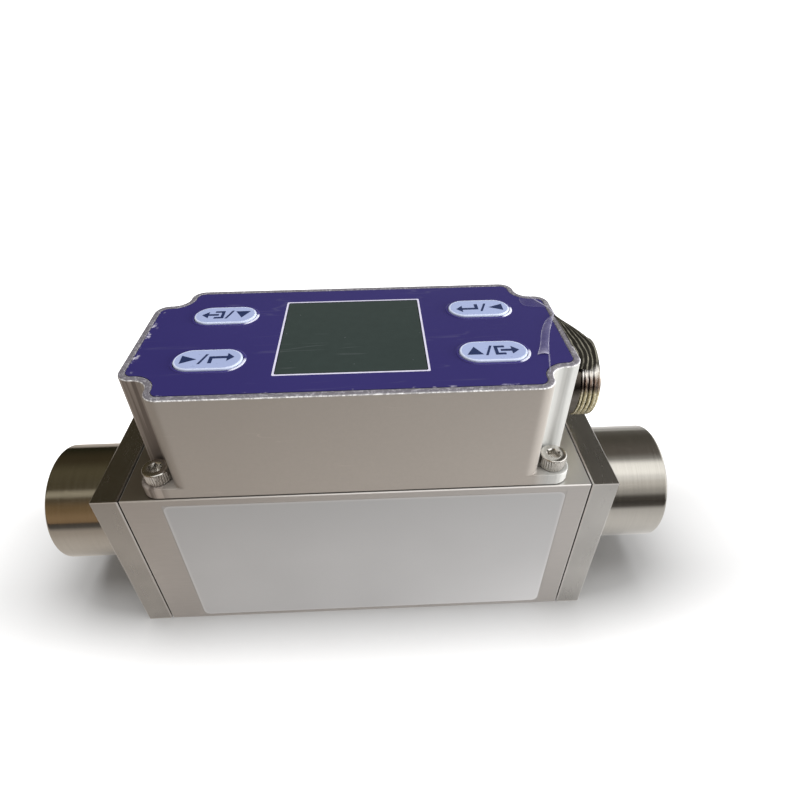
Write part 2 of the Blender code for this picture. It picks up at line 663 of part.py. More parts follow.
def build_flow_conditioner():
    """A honeycomb and a perforated screen, held in the block by the inlet plate."""
    end = BODY_LENGTH / 2
    honeycomb_low = end - CONDITION_DEPTH + SEAT_GAP
    honeycomb_high = honeycomb_low + HONEYCOMB_LENGTH
    disc = regular(HONEYCOMB_RADIUS, ROUND_STEPS)
    centre = (0, 0, CHANNEL_Z)
    prism("flow_straightener", [disc], honeycomb_low, honeycomb_high, "insulator", centre, "-X",
          holes=honeycomb_cells(CELL_PITCH, CELL_RADIUS, CELL_RINGS))
    screen_low = honeycomb_high + SEAT_GAP
    prism("inlet_screen", [disc], screen_low, screen_low + SCREEN_THICKNESS, "valve_steel", centre, "-X",
          holes=honeycomb_cells(CELL_PITCH, SCREEN_HOLE_RADIUS, CELL_RINGS))


def build_sensor():
    """A sealed plug that holds the sensor blade in the stream."""
    seat = BODY_HEIGHT + SEAT_GAP
    centre = (SENSOR_X, 0, 0)
    groove_low = BODY_HEIGHT - SENSOR_GROOVE_DROP
    groove_high = groove_low + 2 * (SENSOR_RING_WIRE + SEAL_GAP)
    groove_radius = SENSOR_PLUG_RADIUS + HOLE_GAP - 2 * (SENSOR_RING_WIRE + SEAL_GAP)
    low = BODY_HEIGHT - SENSOR_PLUG_DEPTH
    profile = [(0.0, seat + SENSOR_FLANGE_HEIGHT), (SENSOR_FLANGE_RADIUS, seat + SENSOR_FLANGE_HEIGHT),
               (SENSOR_FLANGE_RADIUS, seat), (SENSOR_PLUG_RADIUS, seat), (SENSOR_PLUG_RADIUS, groove_high),
               (groove_radius, groove_high), (groove_radius, groove_low), (SENSOR_PLUG_RADIUS, groove_low),
               (SENSOR_PLUG_RADIUS, low), (0.0, low)]
    plug = turned("sensor_plug", profile, centre, "+Z", "valve_steel", TURNED_STEPS)
    blade_low = CHANNEL_Z - BLADE_REACH
    blade_high = seat + SENSOR_FLANGE_HEIGHT + BLADE_STAND
    slot = (BLADE_THICKNESS + 2 * HOLE_GAP, BLADE_WIDTH + 2 * HOLE_GAP, blade_high - low + 2 * CUT)
    combine(plug, box("blade_slot", slot, (SENSOR_X, 0, (low + blade_high) / 2)))
    torus("sensor_seal", groove_radius + SEAL_GAP + SENSOR_RING_WIRE, SENSOR_RING_WIRE,
          (SENSOR_X, 0, (groove_low + groove_high) / 2), "+Z", "rubber")
    box("sensor_blade", (BLADE_THICKNESS, BLADE_WIDTH, blade_high - blade_low),
        (SENSOR_X, 0, (blade_low + blade_high) / 2), "board_green")


# Control valve

def build_valve_seat():
    """A nozzle over the drop to the outlet half of the channel."""
    base = POCKET_FLOOR + SEAT_GAP
    profile = [(NOZZLE_RADIUS, SEAT_TOP), (SEAT_RADIUS, base + SEAT_FOOT_HEIGHT), (SEAT_RADIUS, base),
               (ORIFICE_RADIUS, base), (ORIFICE_RADIUS, SEAT_TOP)]
    turned("valve_seat", profile, (VALVE_X, 0, 0), "+Z", "valve_steel", TURNED_STEPS, ring=True)


def build_valve_plunger():
    """The iron plunger and the rubber disc in its foot. Both move on the valve's axis."""
    recess = PLUNGER_BASE + VALVE_DISC_THICKNESS - VALVE_DISC_PROUD + SEAL_GAP
    recess_radius = VALVE_DISC_RADIUS + SEAL_GAP
    profile = [(0.0, PLUNGER_TOP), (PLUNGER_RADIUS, PLUNGER_TOP), (PLUNGER_RADIUS, PLUNGER_SHOULDER),
               (PLUNGER_COLLAR_RADIUS, PLUNGER_SHOULDER), (PLUNGER_COLLAR_RADIUS, PLUNGER_BASE),
               (recess_radius, PLUNGER_BASE), (recess_radius, recess), (0.0, recess)]
    centre = (VALVE_X, 0, 0)
    turned("valve_plunger", profile, centre, "+Z", "valve_steel", TURNED_STEPS)
    rod("valve_disc", VALVE_DISC_RADIUS, DISC_BASE, DISC_BASE + VALVE_DISC_THICKNESS, centre, "+Z",
        "rubber", SMALL_STEPS)


def build_valve_core():
    """The guide tube and fixed core, screwed into the valve pocket."""
    plug_base = BODY_HEIGHT - PLUG_DEPTH
    plug_radius = POCKET_RADIUS - HOLE_GAP
    bore_top = PLUNGER_TOP + VALVE_TRAVEL + SEAT_GAP
    flange_base = BODY_HEIGHT + SEAT_GAP
    profile = [(0.0, BOBBIN_TOP + CORE_STUD_LENGTH), (CORE_STUD_RADIUS, BOBBIN_TOP + CORE_STUD_LENGTH),
               (CORE_STUD_RADIUS, BOBBIN_TOP), (CORE_TUBE_RADIUS, BOBBIN_TOP),
               (CORE_TUBE_RADIUS, CORE_FLANGE_TOP), (CORE_FLANGE_RADIUS, CORE_FLANGE_TOP),
               (CORE_FLANGE_RADIUS, flange_base), (plug_radius, flange_base), (plug_radius, plug_base),
               (CORE_BORE_RADIUS, plug_base), (CORE_BORE_RADIUS, bore_top), (0.0, bore_top)]
    turned("valve_core", profile, (VALVE_X, 0, 0), "+Z", "valve_steel", TURNED_STEPS)


def build_valve_spring():
    """A wire helix between the plunger's collar and the core."""
    low = PLUNGER_SHOULDER + SEAT_GAP + SPRING_WIRE
    high = BODY_HEIGHT - PLUG_DEPTH - SEAT_GAP - SPRING_WIRE
    radius = (CORE_BORE_RADIUS + PLUNGER_COLLAR_RADIUS) / 2
    steps_a_turn = 10
    count = SPRING_TURNS * steps_a_turn + 1
    curve = bpy.data.curves.new("valve_spring", "CURVE")
    curve.dimensions = "3D"
    curve.bevel_depth = SPRING_WIRE
    curve.bevel_resolution = 1
    curve.use_fill_caps = True
    spline = curve.splines.new("POLY")
    spline.points.add(count - 1)
    for index, point in enumerate(spline.points):
        angle = 2 * math.pi * index / steps_a_turn
        height = low + (high - low) * index / (count - 1)
        point.co = (radius * math.cos(angle), radius * math.sin(angle), height, 1.0)
    spring = bpy.data.objects.new("valve_spring", curve)
    spring.location = (VALVE_X, 0, 0)
    finish_object(spring, "valve_steel")


def build_coil():
    """The bobbin, its winding and the nut that holds them on the core."""
    centre = (VALVE_X, 0, 0)
    hub = BOBBIN_BORE + BOBBIN_HUB_WALL
    low_rim, high_rim = BOBBIN_BASE + BOBBIN_RIM, BOBBIN_TOP - BOBBIN_RIM
    profile = [(BOBBIN_RADIUS, BOBBIN_TOP), (BOBBIN_RADIUS, high_rim), (hub, high_rim), (hub, low_rim),
               (BOBBIN_RADIUS, low_rim), (BOBBIN_RADIUS, BOBBIN_BASE), (BOBBIN_BORE, BOBBIN_BASE),
               (BOBBIN_BORE, BOBBIN_TOP)]
    turned("coil_bobbin", profile, centre, "+Z", "insulator", TURNED_STEPS, ring=True)
    outer = BOBBIN_RADIUS - WINDING_INSET
    inner = hub + SEAT_GAP
    top, base = high_rim - SEAT_GAP, low_rim + SEAT_GAP
    profile = [(outer, top), (outer, base), (inner, base), (inner, top)]
    turned("coil_winding", profile, centre, "+Z", "copper_winding", TURNED_STEPS, ring=True)
    nut_base = BOBBIN_TOP + SEAT_GAP
    prism("coil_nut", [regular(COIL_NUT_FLATS / math.sqrt(3), 6)], nut_base, nut_base + COIL_NUT_HEIGHT,
          "screw_steel", centre, holes=[regular(CORE_STUD_RADIUS + HOLE_GAP, HIDDEN_STEPS)])


# Electronics housing

def build_housing():
    """The scooped shell with its flange, panel recess, window, key pockets and inner bosses."""
    housing = prism("electronics_housing", [scooped_outline(0.0)], HOUSING_BASE + FLANGE_THICKNESS / 2,
                    HOUSING_TOP, "housing_aluminium", edge=ROOF_EDGE)
    flange = [rectangle(HOUSING_LENGTH, HOUSING_WIDTH, SCREW_INSET)]
    combine(housing, prism("flange", flange, HOUSING_BASE, FLANGE_TOP), "UNION")
    combine(housing, prism("cavity", [scooped_outline(HOUSING_WALL, HIDDEN_ARC_STEPS)],
                           HOUSING_BASE - CUT, CEILING))
    bosses = [regular(BOSS_RADIUS, HIDDEN_STEPS, (BOSS_X * sx, BOSS_Y * sy)) for sx, sy in SIGNS]
    combine(housing, prism("bosses", bosses, BOARD_TOP + SEAT_GAP, CEILING + ROOF_THICKNESS / 4), "UNION")
    pilots = [regular(M2_RADIUS + HOLE_GAP, HIDDEN_STEPS, (BOSS_X * sx, BOSS_Y * sy)) for sx, sy in SIGNS]
    screw_tip = BOARD_BASE - FASTENER_GAP + M2_LENGTH
    combine(housing, prism("pilots", pilots, BOARD_TOP - CUT, screw_tip + SEAT_GAP))
    cut_panel(housing)
    holes = [regular(M3_RADIUS + HOLE_GAP, HIDDEN_STEPS, (CORNER_SCREW_X * sx, CORNER_SCREW_Y * sy))
             for sx, sy in SIGNS]
    combine(housing, prism("flange_holes", holes, HOUSING_BASE - CUT, FLANGE_TOP + CUT))
    combine(housing, rod("connector_hole", BARREL_RADIUS + HOLE_GAP, -HOUSING_WALL - CUT, CUT,
                         (HOUSING_END, 0, CONNECTOR_Z), "+X"))


def cut_panel(housing):
    """The recess for the film, the stepped display window and the key pockets."""
    combine(housing, prism("panel_recess", [scooped_outline(PANEL_RIM)], PANEL_FLOOR, HOUSING_TOP + CUT))
    lens_bed = [rectangle(WINDOW_LENGTH + 2 * FILM_GAP, WINDOW_WIDTH + 2 * FILM_GAP, WINDOW_CORNER)]
    combine(housing, prism("lens_bed", lens_bed, LENS_BASE - SEAT_GAP, HOUSING_TOP + CUT))
    window = [rectangle(WINDOW_LENGTH - 2 * LENS_LEDGE, WINDOW_WIDTH - 2 * LENS_LEDGE, WINDOW_CORNER)]
    combine(housing, prism("window", window, CEILING - CUT, HOUSING_TOP + CUT))
    combine(housing, prism("key_pockets", [key_outline(sx, sy, FILM_GAP) for sx, sy in SIGNS],
                           KEY_FLOOR, HOUSING_TOP + CUT))
    stems = [regular(KEY_STEM_RADIUS + HOLE_GAP, HIDDEN_STEPS, (KEY_X * sx, KEY_Y * sy)) for sx, sy in SIGNS]
    combine(housing, prism("stem_holes", stems, CEILING - CUT, HOUSING_TOP + CUT))


def key_outline(sx, sy, grow=0.0):
    """The long round-ended outline of a key, wider all round by grow."""
    width = KEY_WIDTH + 2 * grow
    return rectangle(KEY_LENGTH + 2 * grow, width, width / 2 - WELD, (KEY_X * sx, KEY_Y * sy))


def build_housing_gasket():
    """The rubber cord in the groove under the housing's wall."""
    outer = scooped_outline(gasket_inset(), HIDDEN_ARC_STEPS)
    inner = scooped_outline(gasket_inset() + GASKET_WIDTH, HIDDEN_ARC_STEPS)
    base = BODY_HEIGHT - gasket_depth() + FASTENER_GAP
    prism("housing_gasket", [outer], base, base + GASKET_HEIGHT, "rubber", holes=[inner])


def build_housing_screws():
    """A cap screw in each scoop."""
    for sx, sy in SIGNS:
        cap_screw("housing_screw_" + SIDES[sx, sy], M3_HEAD_RADIUS, M3_HEAD_HEIGHT, M3_RADIUS, M3_LENGTH,
                  (CORNER_SCREW_X * sx, CORNER_SCREW_Y * sy, FLANGE_TOP + FASTENER_GAP), "+Z",
                  M3_SOCKET_FLATS, M3_SOCKET_DEPTH)


# Panel, display and board

def build_panel_film():
    """The printed film, with its window and an opening for each key."""
    openings = [rectangle(WINDOW_LENGTH, WINDOW_WIDTH, WINDOW_CORNER)]
    openings += [key_outline(sx, sy, FILM_GAP) for sx, sy in SIGNS]
    prism("panel_film", [scooped_outline(PANEL_RIM + FILM_GAP)], FILM_BASE, FILM_TOP, "panel_film",
          holes=openings)


def build_display():
    """The lens in the window and the display module behind it."""
    lens = rectangle(WINDOW_LENGTH - 2 * FILM_GAP, WINDOW_WIDTH - 2 * FILM_GAP, WINDOW_CORNER)
    prism("display_lens", [lens], LENS_BASE, FILM_TOP, "display_glass")
    box("display_module", (LCD_SIZE, LCD_SIZE, LCD_THICKNESS), (0, 0, LCD_TOP - LCD_THICKNESS / 2),
        "display_glass")


def build_key(sx, sy):
    """A key that slides down on its stem. Its origin is on the stem's axis, under the cap."""
    name = "key_" + SIDES[sx, sy]
    centre = (KEY_X * sx, KEY_Y * sy, FILM_BASE)
    cap = rectangle(KEY_LENGTH, KEY_WIDTH, KEY_WIDTH / 2 - WELD)
    key = prism(name, [cap], 0.0, KEY_TOP - FILM_BASE, "key_film", centre, edge=KEY_EDGE)
    stem = rod(name + "_stem", KEY_STEM_RADIUS, STEM_BASE - FILM_BASE, (KEY_TOP - FILM_BASE) / 2,
               centre, "+Z", sides=HIDDEN_STEPS)
    combine(key, stem, "UNION")


def build_switch(sx, sy):
    """The tact switch under a key."""
    middle = (KEY_X * sx, KEY_Y * sy, SWITCH_BASE + SWITCH_BODY_HEIGHT / 2)
    name = "switch_" + SIDES[sx, sy]
    switch = box(name, (SWITCH_SIZE, SWITCH_SIZE, SWITCH_BODY_HEIGHT), middle, "insulator")
    button = rod(name + "_button", SWITCH_BUTTON_RADIUS, SWITCH_BASE + SWITCH_BODY_HEIGHT / 2, SWITCH_TOP,
                 (KEY_X * sx, KEY_Y * sy, 0), "+Z", sides=HIDDEN_STEPS)
    combine(switch, button, "UNION")


def build_board():
    """The circuit board under the roof, its processor and its four screws."""
    outline = rectangle(2 * (BOSS_X + BOARD_MARGIN), 2 * (BOSS_Y + BOARD_MARGIN), BOARD_MARGIN)
    holes = [regular(M2_RADIUS + HOLE_GAP, HIDDEN_STEPS, (BOSS_X * sx, BOSS_Y * sy)) for sx, sy in SIGNS]
    prism("display_board", [outline], BOARD_BASE, BOARD_TOP, "board_green", holes=holes)
    chip_middle = BOARD_BASE - SEAT_GAP - CHIP_HEIGHT / 2
    box("processor_chip", (CHIP_SIZE, CHIP_SIZE, CHIP_HEIGHT), (CHIP_X, 0, chip_middle), "insulator")
    for sx, sy in SIGNS:
        cap_screw("board_screw_" + SIDES[sx, sy], M2_HEAD_RADIUS, M2_HEAD_HEIGHT, M2_RADIUS, M2_LENGTH,
                  (BOSS_X * sx, BOSS_Y * sy, BOARD_BASE - FASTENER_GAP), "-Z")


def build_lifting_film():
    """The end of the clear protective film, loose on the rim, with a tongue that hangs over the end."""
    edge = HOUSING_END - PEEL_INSET
    side = PEEL_WIDTH / 2
    reach = HOUSING_END + TONGUE_REACH
    outline = rounded_polygon([
        (edge - PEEL_LENGTH, -side, 0.0), (edge, -side, PEEL_CORNER), (edge, TONGUE_FRONT_Y, 0.0),
        (reach, TONGUE_TIP_Y - TONGUE_TIP_WIDTH / 2, 0.0), (reach, TONGUE_TIP_Y + TONGUE_TIP_WIDTH / 2, 0.0),
        (edge, TONGUE_BACK_Y, 0.0), (edge, side, PEEL_CORNER), (edge - PEEL_LENGTH, side, 0.0)],
        HIDDEN_ARC_STEPS)
    base = HOUSING_TOP + FASTENER_GAP
    prism("protective_film", [outline], base, base + PEEL_THICKNESS, "clear_film")


def build_front_label():
    """The blank label in its shallow bed on the front face."""
    outline = rectangle(LABEL_LENGTH, LABEL_HEIGHT, LABEL_CORNER)
    prism("front_label", [outline], 0.0, LABEL_THICKNESS, "label_film",
          (LABEL_SHIFT, LABEL_THICKNESS - BODY_WIDTH / 2, LABEL_RISE + LABEL_HEIGHT / 2), "-Y")


# Electrical connector

def build_connector():
    """The threaded shell through the end wall, its insulator, its contacts and its nut."""
    centre = (HOUSING_END, 0, CONNECTOR_Z)
    collar_top = SEAT_GAP + COLLAR_LENGTH
    front = collar_top + THREAD_LENGTH
    profile = [(THREAD_RADIUS - THREAD_EDGE, front), (THREAD_RADIUS, front - THREAD_EDGE),
               (THREAD_RADIUS, collar_top), (COLLAR_RADIUS, collar_top), (COLLAR_RADIUS, SEAT_GAP),
               (BARREL_RADIUS, SEAT_GAP), (BARREL_RADIUS, -BARREL_LENGTH), (SOCKET_RADIUS, -BARREL_LENGTH),
               (SOCKET_RADIUS, front)]
    turned("connector_shell", profile, centre, "+X", "nickel_brass", ring=True)
    pins = regular(PIN_CIRCLE, 4, start=math.pi / 4)
    pin_holes = [regular(PIN_RADIUS + FILM_GAP, HIDDEN_STEPS, pin) for pin in pins]
    prism("connector_insert", [regular(SOCKET_RADIUS - HOLE_GAP, ROUND_STEPS)], -INSERT_BACK, INSERT_FRONT,
          "insulator", centre, "+X", holes=pin_holes)
    for number, (dz, dy) in enumerate(pins, 1):
        taper = 0.6 * PIN_RADIUS
        profile = [(0.0, PIN_FRONT), (taper, PIN_FRONT), (PIN_RADIUS, PIN_FRONT - taper),
                   (PIN_RADIUS, -PIN_BACK), (0.0, -PIN_BACK)]
        turned(f"connector_pin_{number}", profile, (HOUSING_END, dy, CONNECTOR_Z + dz), "+X",
               "contact_gold", HIDDEN_STEPS)
    nut_front = -HOUSING_WALL - SEAT_GAP
    prism("connector_nut", [regular(CONNECTOR_NUT_FLATS / math.sqrt(3), 6, start=math.pi / 2)],
          nut_front - CONNECTOR_NUT_HEIGHT, nut_front, "screw_steel", centre, "+X",
          holes=[regular(BARREL_RADIUS + HOLE_GAP, TURNED_STEPS)])


def build_loom():
    """The leads from the contacts to the board, as one bundle that passes beside the coil."""
    start = Vector((HOUSING_END - PIN_BACK - LOOM_RADIUS, 0, CONNECTOR_Z))
    beside = Vector((VALVE_X + LOOM_RADIUS, -LOOM_SIDE, CONNECTOR_Z - LOOM_RADIUS))
    finish = Vector((LOOM_END_X, -LOOM_SIDE, BOARD_BASE - SEAT_GAP))
    lead = Vector((beside.x + BOBBIN_RADIUS, 0, CONNECTOR_Z))
    down = Vector((LOOM_END_X, -LOOM_SIDE, beside.z))
    points = bezier(start, lead, Vector((lead.x, -LOOM_SIDE, beside.z)), beside, 8)
    points += bezier(beside, (beside + down) / 2, down, finish, 7)[1:]
    curve = bpy.data.curves.new("lead_loom", "CURVE")
    curve.dimensions = "3D"
    curve.bevel_depth = LOOM_RADIUS
    curve.bevel_resolution = 2
    curve.use_fill_caps = True
    spline = curve.splines.new("POLY")
    spline.points.add(len(points) - 1)
    for point, place_at in zip(spline.points, points):
        point.co = (*place_at, 1.0)
    loom = bpy.data.objects.new("lead_loom", curve)
    finish_object(loom, "insulator")


def bezier(start, first, second, end, steps):
    """Points along a cubic curve from start to end."""
    points = []
    for step in range(steps + 1):
        t = step / steps
        u = 1 - t
        points.append(start * u ** 3 + first * 3 * u * u * t + second * 3 * u * t * t + end * t ** 3)
    return points


def build_all():
    """Every piece of the controller."""
    build_channel_body()
    for name, side in (("inlet_fitting", -1), ("outlet_fitting", 1)):
        build_end_fitting(name, side)
        build_plate_screws(name, side)
    build_end_seals()
    build_flow_conditioner()
    build_sensor()
    build_valve_seat()
    build_valve_plunger()
    build_valve_core()
    build_valve_spring()
    build_coil()
    build_housing()
    build_housing_gasket()
    build_housing_screws()
    build_panel_film()
    build_display()
    for sx, sy in SIGNS:
        build_key(sx, sy)
        build_switch(sx, sy)
    build_board()
    build_lifting_film()
    build_front_label()
    build_connector()
    build_loom()


build_all()
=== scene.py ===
"""Looks of the in-line gas mass flow controller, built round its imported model."""
import math
from functools import cache, partial

import bmesh
import bpy
import numpy as np
from bpy.props import FloatProperty, FloatVectorProperty, IntProperty, PointerProperty
from mathutils import Matrix, Vector
from mathutils.geometry import delaunay_2d_cdt


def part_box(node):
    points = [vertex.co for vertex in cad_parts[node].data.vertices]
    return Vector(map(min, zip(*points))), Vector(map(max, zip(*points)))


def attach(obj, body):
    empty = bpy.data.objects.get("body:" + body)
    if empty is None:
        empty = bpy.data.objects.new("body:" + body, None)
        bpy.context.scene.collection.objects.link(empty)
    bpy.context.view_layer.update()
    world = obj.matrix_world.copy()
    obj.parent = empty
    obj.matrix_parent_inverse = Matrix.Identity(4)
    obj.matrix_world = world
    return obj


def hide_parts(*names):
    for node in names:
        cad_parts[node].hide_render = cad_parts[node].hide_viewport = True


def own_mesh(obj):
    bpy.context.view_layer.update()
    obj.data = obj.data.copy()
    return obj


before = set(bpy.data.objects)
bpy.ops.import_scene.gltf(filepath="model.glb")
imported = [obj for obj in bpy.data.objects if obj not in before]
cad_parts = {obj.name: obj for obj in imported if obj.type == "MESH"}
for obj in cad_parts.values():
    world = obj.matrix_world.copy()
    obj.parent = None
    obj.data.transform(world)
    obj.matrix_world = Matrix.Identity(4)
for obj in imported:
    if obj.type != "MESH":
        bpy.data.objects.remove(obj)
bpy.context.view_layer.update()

bl_info = {
    "name": "Mass Flow Controller Looks",
    "version": (1, 0, 0),
    "blender": (4, 5, 0),
    "location": "3D View > Sidebar > Flow Controller",
    "description": "Detailed surfaces and finishes for an in-line gas mass flow controller",
    "category": "Object",
}

MM = 0.001
CONTROLLER = "controller"
MERGE_DISTANCE = 0.001 * MM

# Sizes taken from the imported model
HOUSING_LOW, HOUSING_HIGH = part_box("electronics_housing")
FILM_LOW, FILM_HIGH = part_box("panel_film")
LENS_LOW, LENS_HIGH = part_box("display_lens")
BODY_LOW, BODY_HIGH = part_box("channel_body")
FITTING_LOW, FITTING_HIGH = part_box("outlet_fitting")
SHELL_LOW, SHELL_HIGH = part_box("connector_shell")
SCREW_LOW, SCREW_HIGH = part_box("housing_screw_front_right")
LABEL_LOW, LABEL_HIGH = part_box("front_label")
HALF_LENGTH = HOUSING_HIGH.x
HALF_WIDTH = HOUSING_HIGH.y
SCREW_X = (SCREW_LOW.x + SCREW_HIGH.x) / 2
SCREW_Y = -(SCREW_LOW.y + SCREW_HIGH.y) / 2
FLOW_Z = (BODY_LOW.z + BODY_HIGH.z) / 2
CONNECTOR_Z = (SHELL_LOW.z + SHELL_HIGH.z) / 2
PLATE_FACE = FITTING_LOW.x

# Housing
RELIEF_RADIUS = 3.3 * MM
TIP_RADIUS = 3.2 * MM
FLANGE_THICKNESS = 2.6 * MM
FLANGE_EDGE = 0.25 * MM
ROOF_EDGE = 0.5 * MM
PANEL_RIM = 1.35 * MM
PANEL_RECESS = 0.6 * MM
HOUSING_WALL = 2.0 * MM
ROOF_THICKNESS = 2.6 * MM
RIM_CHAMFER = (0.12 * MM, 0.1 * MM)
FLOOR_INSET = 4.2 * MM
ROOT_FILLET = 0.35 * MM
SUPPORT = 0.3 * MM              # rows and columns that keep a flat face flat beside a bend
FILM_GAP = 0.15 * MM
SCOOP_START = (12.2 * MM, 13.8 * MM)
# Spans along x of the painted light on the right scoops and the painted shade on the left ones
SCOOP_RIGHT = (37.0 * MM, 40.0 * MM)
SCOOP_LEFT = (-38.5 * MM, -41.0 * MM)
# Span along x over which the block's top gets painted light at the right end and painted shade at the left
BLOCK_TOP_LIGHT_SPAN = (30.0 * MM, 46.0 * MM)

# Keys
KEY_X = 28.3 * MM
KEY_Y = 9.0 * MM
KEY_LENGTH = 13.6 * MM
KEY_WIDTH = 7.2 * MM
KEY_STEM_RADIUS = 1.5 * MM
KEY_SHOULDER = 0.28 * MM
KEY_CROWN = ((0.42 * MM, 0.9), (0.5 * MM, 0.8), (1.2 * MM, 0.5), (2.4 * MM, 0.2), (3.5 * MM, 0.0))
RIDGE_LAP = 0.04 * MM
RIDGE_FOOT = 0.1 * MM
WINDOW_LINE = 0.4 * MM
WINDOW_CORNER_STEPS = 4
WINDOW_CORNER = 0.4 * MM
LINE_CORNER = 0.3 * MM
PRINT_THICKNESS = 0.02 * MM
PRINT_DROP = 0.03 * MM

# Symbols of the keys: outlines in millimetres, each with its shift along the key
BRACKET = ((0.3, 1.65), (0.3, 0.95), (1.75, 0.95), (1.75, -0.95), (0.3, -0.95), (0.3, -1.65), (2.45, -1.65),
           (2.45, 1.65))
LEAVE_ARROW = ((-2.5, 0.0), (-1.0, 1.4), (-1.0, 0.38), (1.2, 0.38), (1.2, -0.38), (-1.0, -0.38),
               (-1.0, -1.4))
BENT_ARROW = ((-2.5, -0.5), (-1.1, 0.95), (-1.1, -0.1), (1.7, -0.1), (1.7, 1.55), (2.45, 1.55), (2.45, -0.9),
              (-1.1, -0.9), (-1.1, -1.95))
SLASH = ((-0.85, -1.75), (-0.35, -1.75), (0.85, 1.75), (0.35, 1.75))
DOWNWARDS = ((-1.65, 1.4), (0.0, -1.5), (1.65, 1.4))
LEFTWARDS = ((-1.6, 0.0), (1.5, -1.45), (1.5, 1.45))
LEAVE_SYMBOLS = ((BRACKET, -2.65), (LEAVE_ARROW, -2.65), (SLASH, 0.95), (DOWNWARDS, 3.8))
RETURN_SYMBOLS = ((BENT_ARROW, -2.65), (SLASH, 0.95), (LEFTWARDS, 3.8))

# Label
LABEL_CORNER = 1.6 * MM
LABEL_SPREAD = 0.13 * MM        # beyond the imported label, to close the line round it

# Fittings
FITTINGS = (("inlet_fitting", -1), ("outlet_fitting", 1))
PLATE_THICKNESS = 5.8 * MM
PLATE_EDGE = 0.25 * MM
STUB_RADIUS = 14.5 * MM
STUB_EDGE = 0.5 * MM
PORT_RADIUS = 9.5 * MM
PORT_DEPTH = 17.0 * MM
PORT_LEAD_IN = 0.9 * MM
CHANNEL_RADIUS = 7.0 * MM
PORT_PITCH = 1.8 * MM
PORT_THREAD_DEPTH = 0.5 * MM
PORT_RUN_OUT = 1.5 * MM
M4_HEAD_RADIUS = 3.5 * MM
M4_HEAD_HEIGHT = 4.0 * MM
M4_RADIUS = 2.0 * MM
M4_SOCKET = (3.0 * MM, 2.0 * MM)
HOLE_GAP = 0.3 * MM
HEAD_DROP = 0.2 * MM
M3_HEAD_RADIUS = 2.75 * MM
M3_HEAD_HEIGHT = 3.0 * MM
M3_RADIUS = 1.5 * MM
M3_SOCKET = (2.5 * MM, 1.6 * MM)     # across flats, and depth
SCREW_RIM = 0.32 * MM
THREAD_ROWS = 14                # rows of points along one pitch of a thread
THREAD_STEEPNESS = 1.8
THREAD_FLAT = 0.3

# Connector
THREAD_RADIUS = 8.8 * MM
THREAD_PITCH = 1.0 * MM
THREAD_DEPTH = 0.55 * MM
COLLAR_RADIUS = 8.9 * MM
COLLAR_START = 0.3 * MM
COLLAR_LENGTH = 3.1 * MM
COLLAR_CHAMFER = 0.25 * MM
LIP_RADIUS = 0.35 * MM
MOUTH_CHAMFER = 0.3 * MM
BARREL_RADIUS = 7.7 * MM
SOCKET_RADIUS = 6.6 * MM
COLLAR_END = HALF_LENGTH + COLLAR_START + COLLAR_LENGTH

# Valve spring
SPRING_WIRE = 0.3 * MM
SPRING_TURNS = 3
TURN_ROWS = 28
WIRE_POINTS = 10

# Clear film: paths of (x, y), or (x, y, z) where the film leaves its own height, in millimetres
FILM_Z = 69.72
FOLD_LEFT = ((44.3, 5.4), (42.1, 3.5), (40.1, -0.8), (39.0, -4.1), (38.7, -5.9), (36.8, -10.6))
FOLD_RIGHT = ((44.4, 5.2), (41.7, -1.4), (40.6, -4.9), (39.6, -8.7), (39.1, -10.5))
CREASE_LEFT = ((38.95, -10.5), (37.5, -17.0))
CREASE_RIGHT = ((39.25, -10.5), (37.7, -17.0))
UPPER_LEFT = ((39.5, 17.1), (40.8, 14.4), (42.7, 10.8), (44.2, 7.9), (44.4, 5.2))
UPPER_RIGHT = ((39.7, 17.2), (41.1, 14.5), (43.0, 10.9), (44.5, 8.0), (44.7, 5.2))
FLAP_LEFT = ((38.6, 14.3), (38.1, 11.9), (38.7, 9.5), (41.6, 9.3), (44.3, 8.2))
FLAP_RIGHT = ((39.6, 14.3), (40.5, 14.3), (42.8, 11.2), (44.5, 7.6))
TONGUE_INNER = ((44.3, 5.3, 69.8), (44.6, 3.0, 69.68), (44.6, -2.0, 69.66), (44.6, -7.0, 69.66),
                (44.75, -10.2, 69.5), (45.2, -10.6, 68.2), (45.35, -9.6, 65.6))
TONGUE_OUTER = ((44.4, 5.3, 69.8), (45.2, 4.8, 69.3), (46.5, 4.3, 68.6), (48.3, 3.5, 67.8), (49.7, 2.4, 67.1),
                (51.1, 0.9, 66.5), (52.1, -1.4, 66.0), (52.3, -3.7, 64.95), (52.1, -5.9, 63.5),
                (51.9, -7.2, 62.3))
TONGUE_FADE = (62.6 * MM, 64.2 * MM)
TONGUE_RISE = 0.12 * MM
TONGUE_GRID = (60, 40)

# Left and right path of each loose strip, the rise of its arch, and how plain its middle and border show,
# in opacity and in a painted highlight
LOOSE_FILM = ((FOLD_LEFT, FOLD_RIGHT, 0.25 * MM, 0.26, 0.8), (CREASE_LEFT, CREASE_RIGHT, 0.05 * MM, 0.4, 0.4),
              (UPPER_LEFT, UPPER_RIGHT, 0.05 * MM, 0.6, 0.6), (FLAP_LEFT, FLAP_RIGHT, 0.1 * MM, 0.12, 0.3))
STREAKS = 4.6

VECTOR_MATHS = "ShaderNodeVectorMath"

SIGNS = ((-1, -1), (1, -1), (-1, 1), (1, 1))
SIDES = {(-1, -1): "front_left", (1, -1): "front_right", (-1, 1): "back_left", (1, 1): "back_right"}


# Settings that a user would change

LengthSetting = partial(FloatProperty, subtype="DISTANCE", unit="LENGTH")
ColourSetting = partial(FloatVectorProperty, subtype="COLOR", size=3)


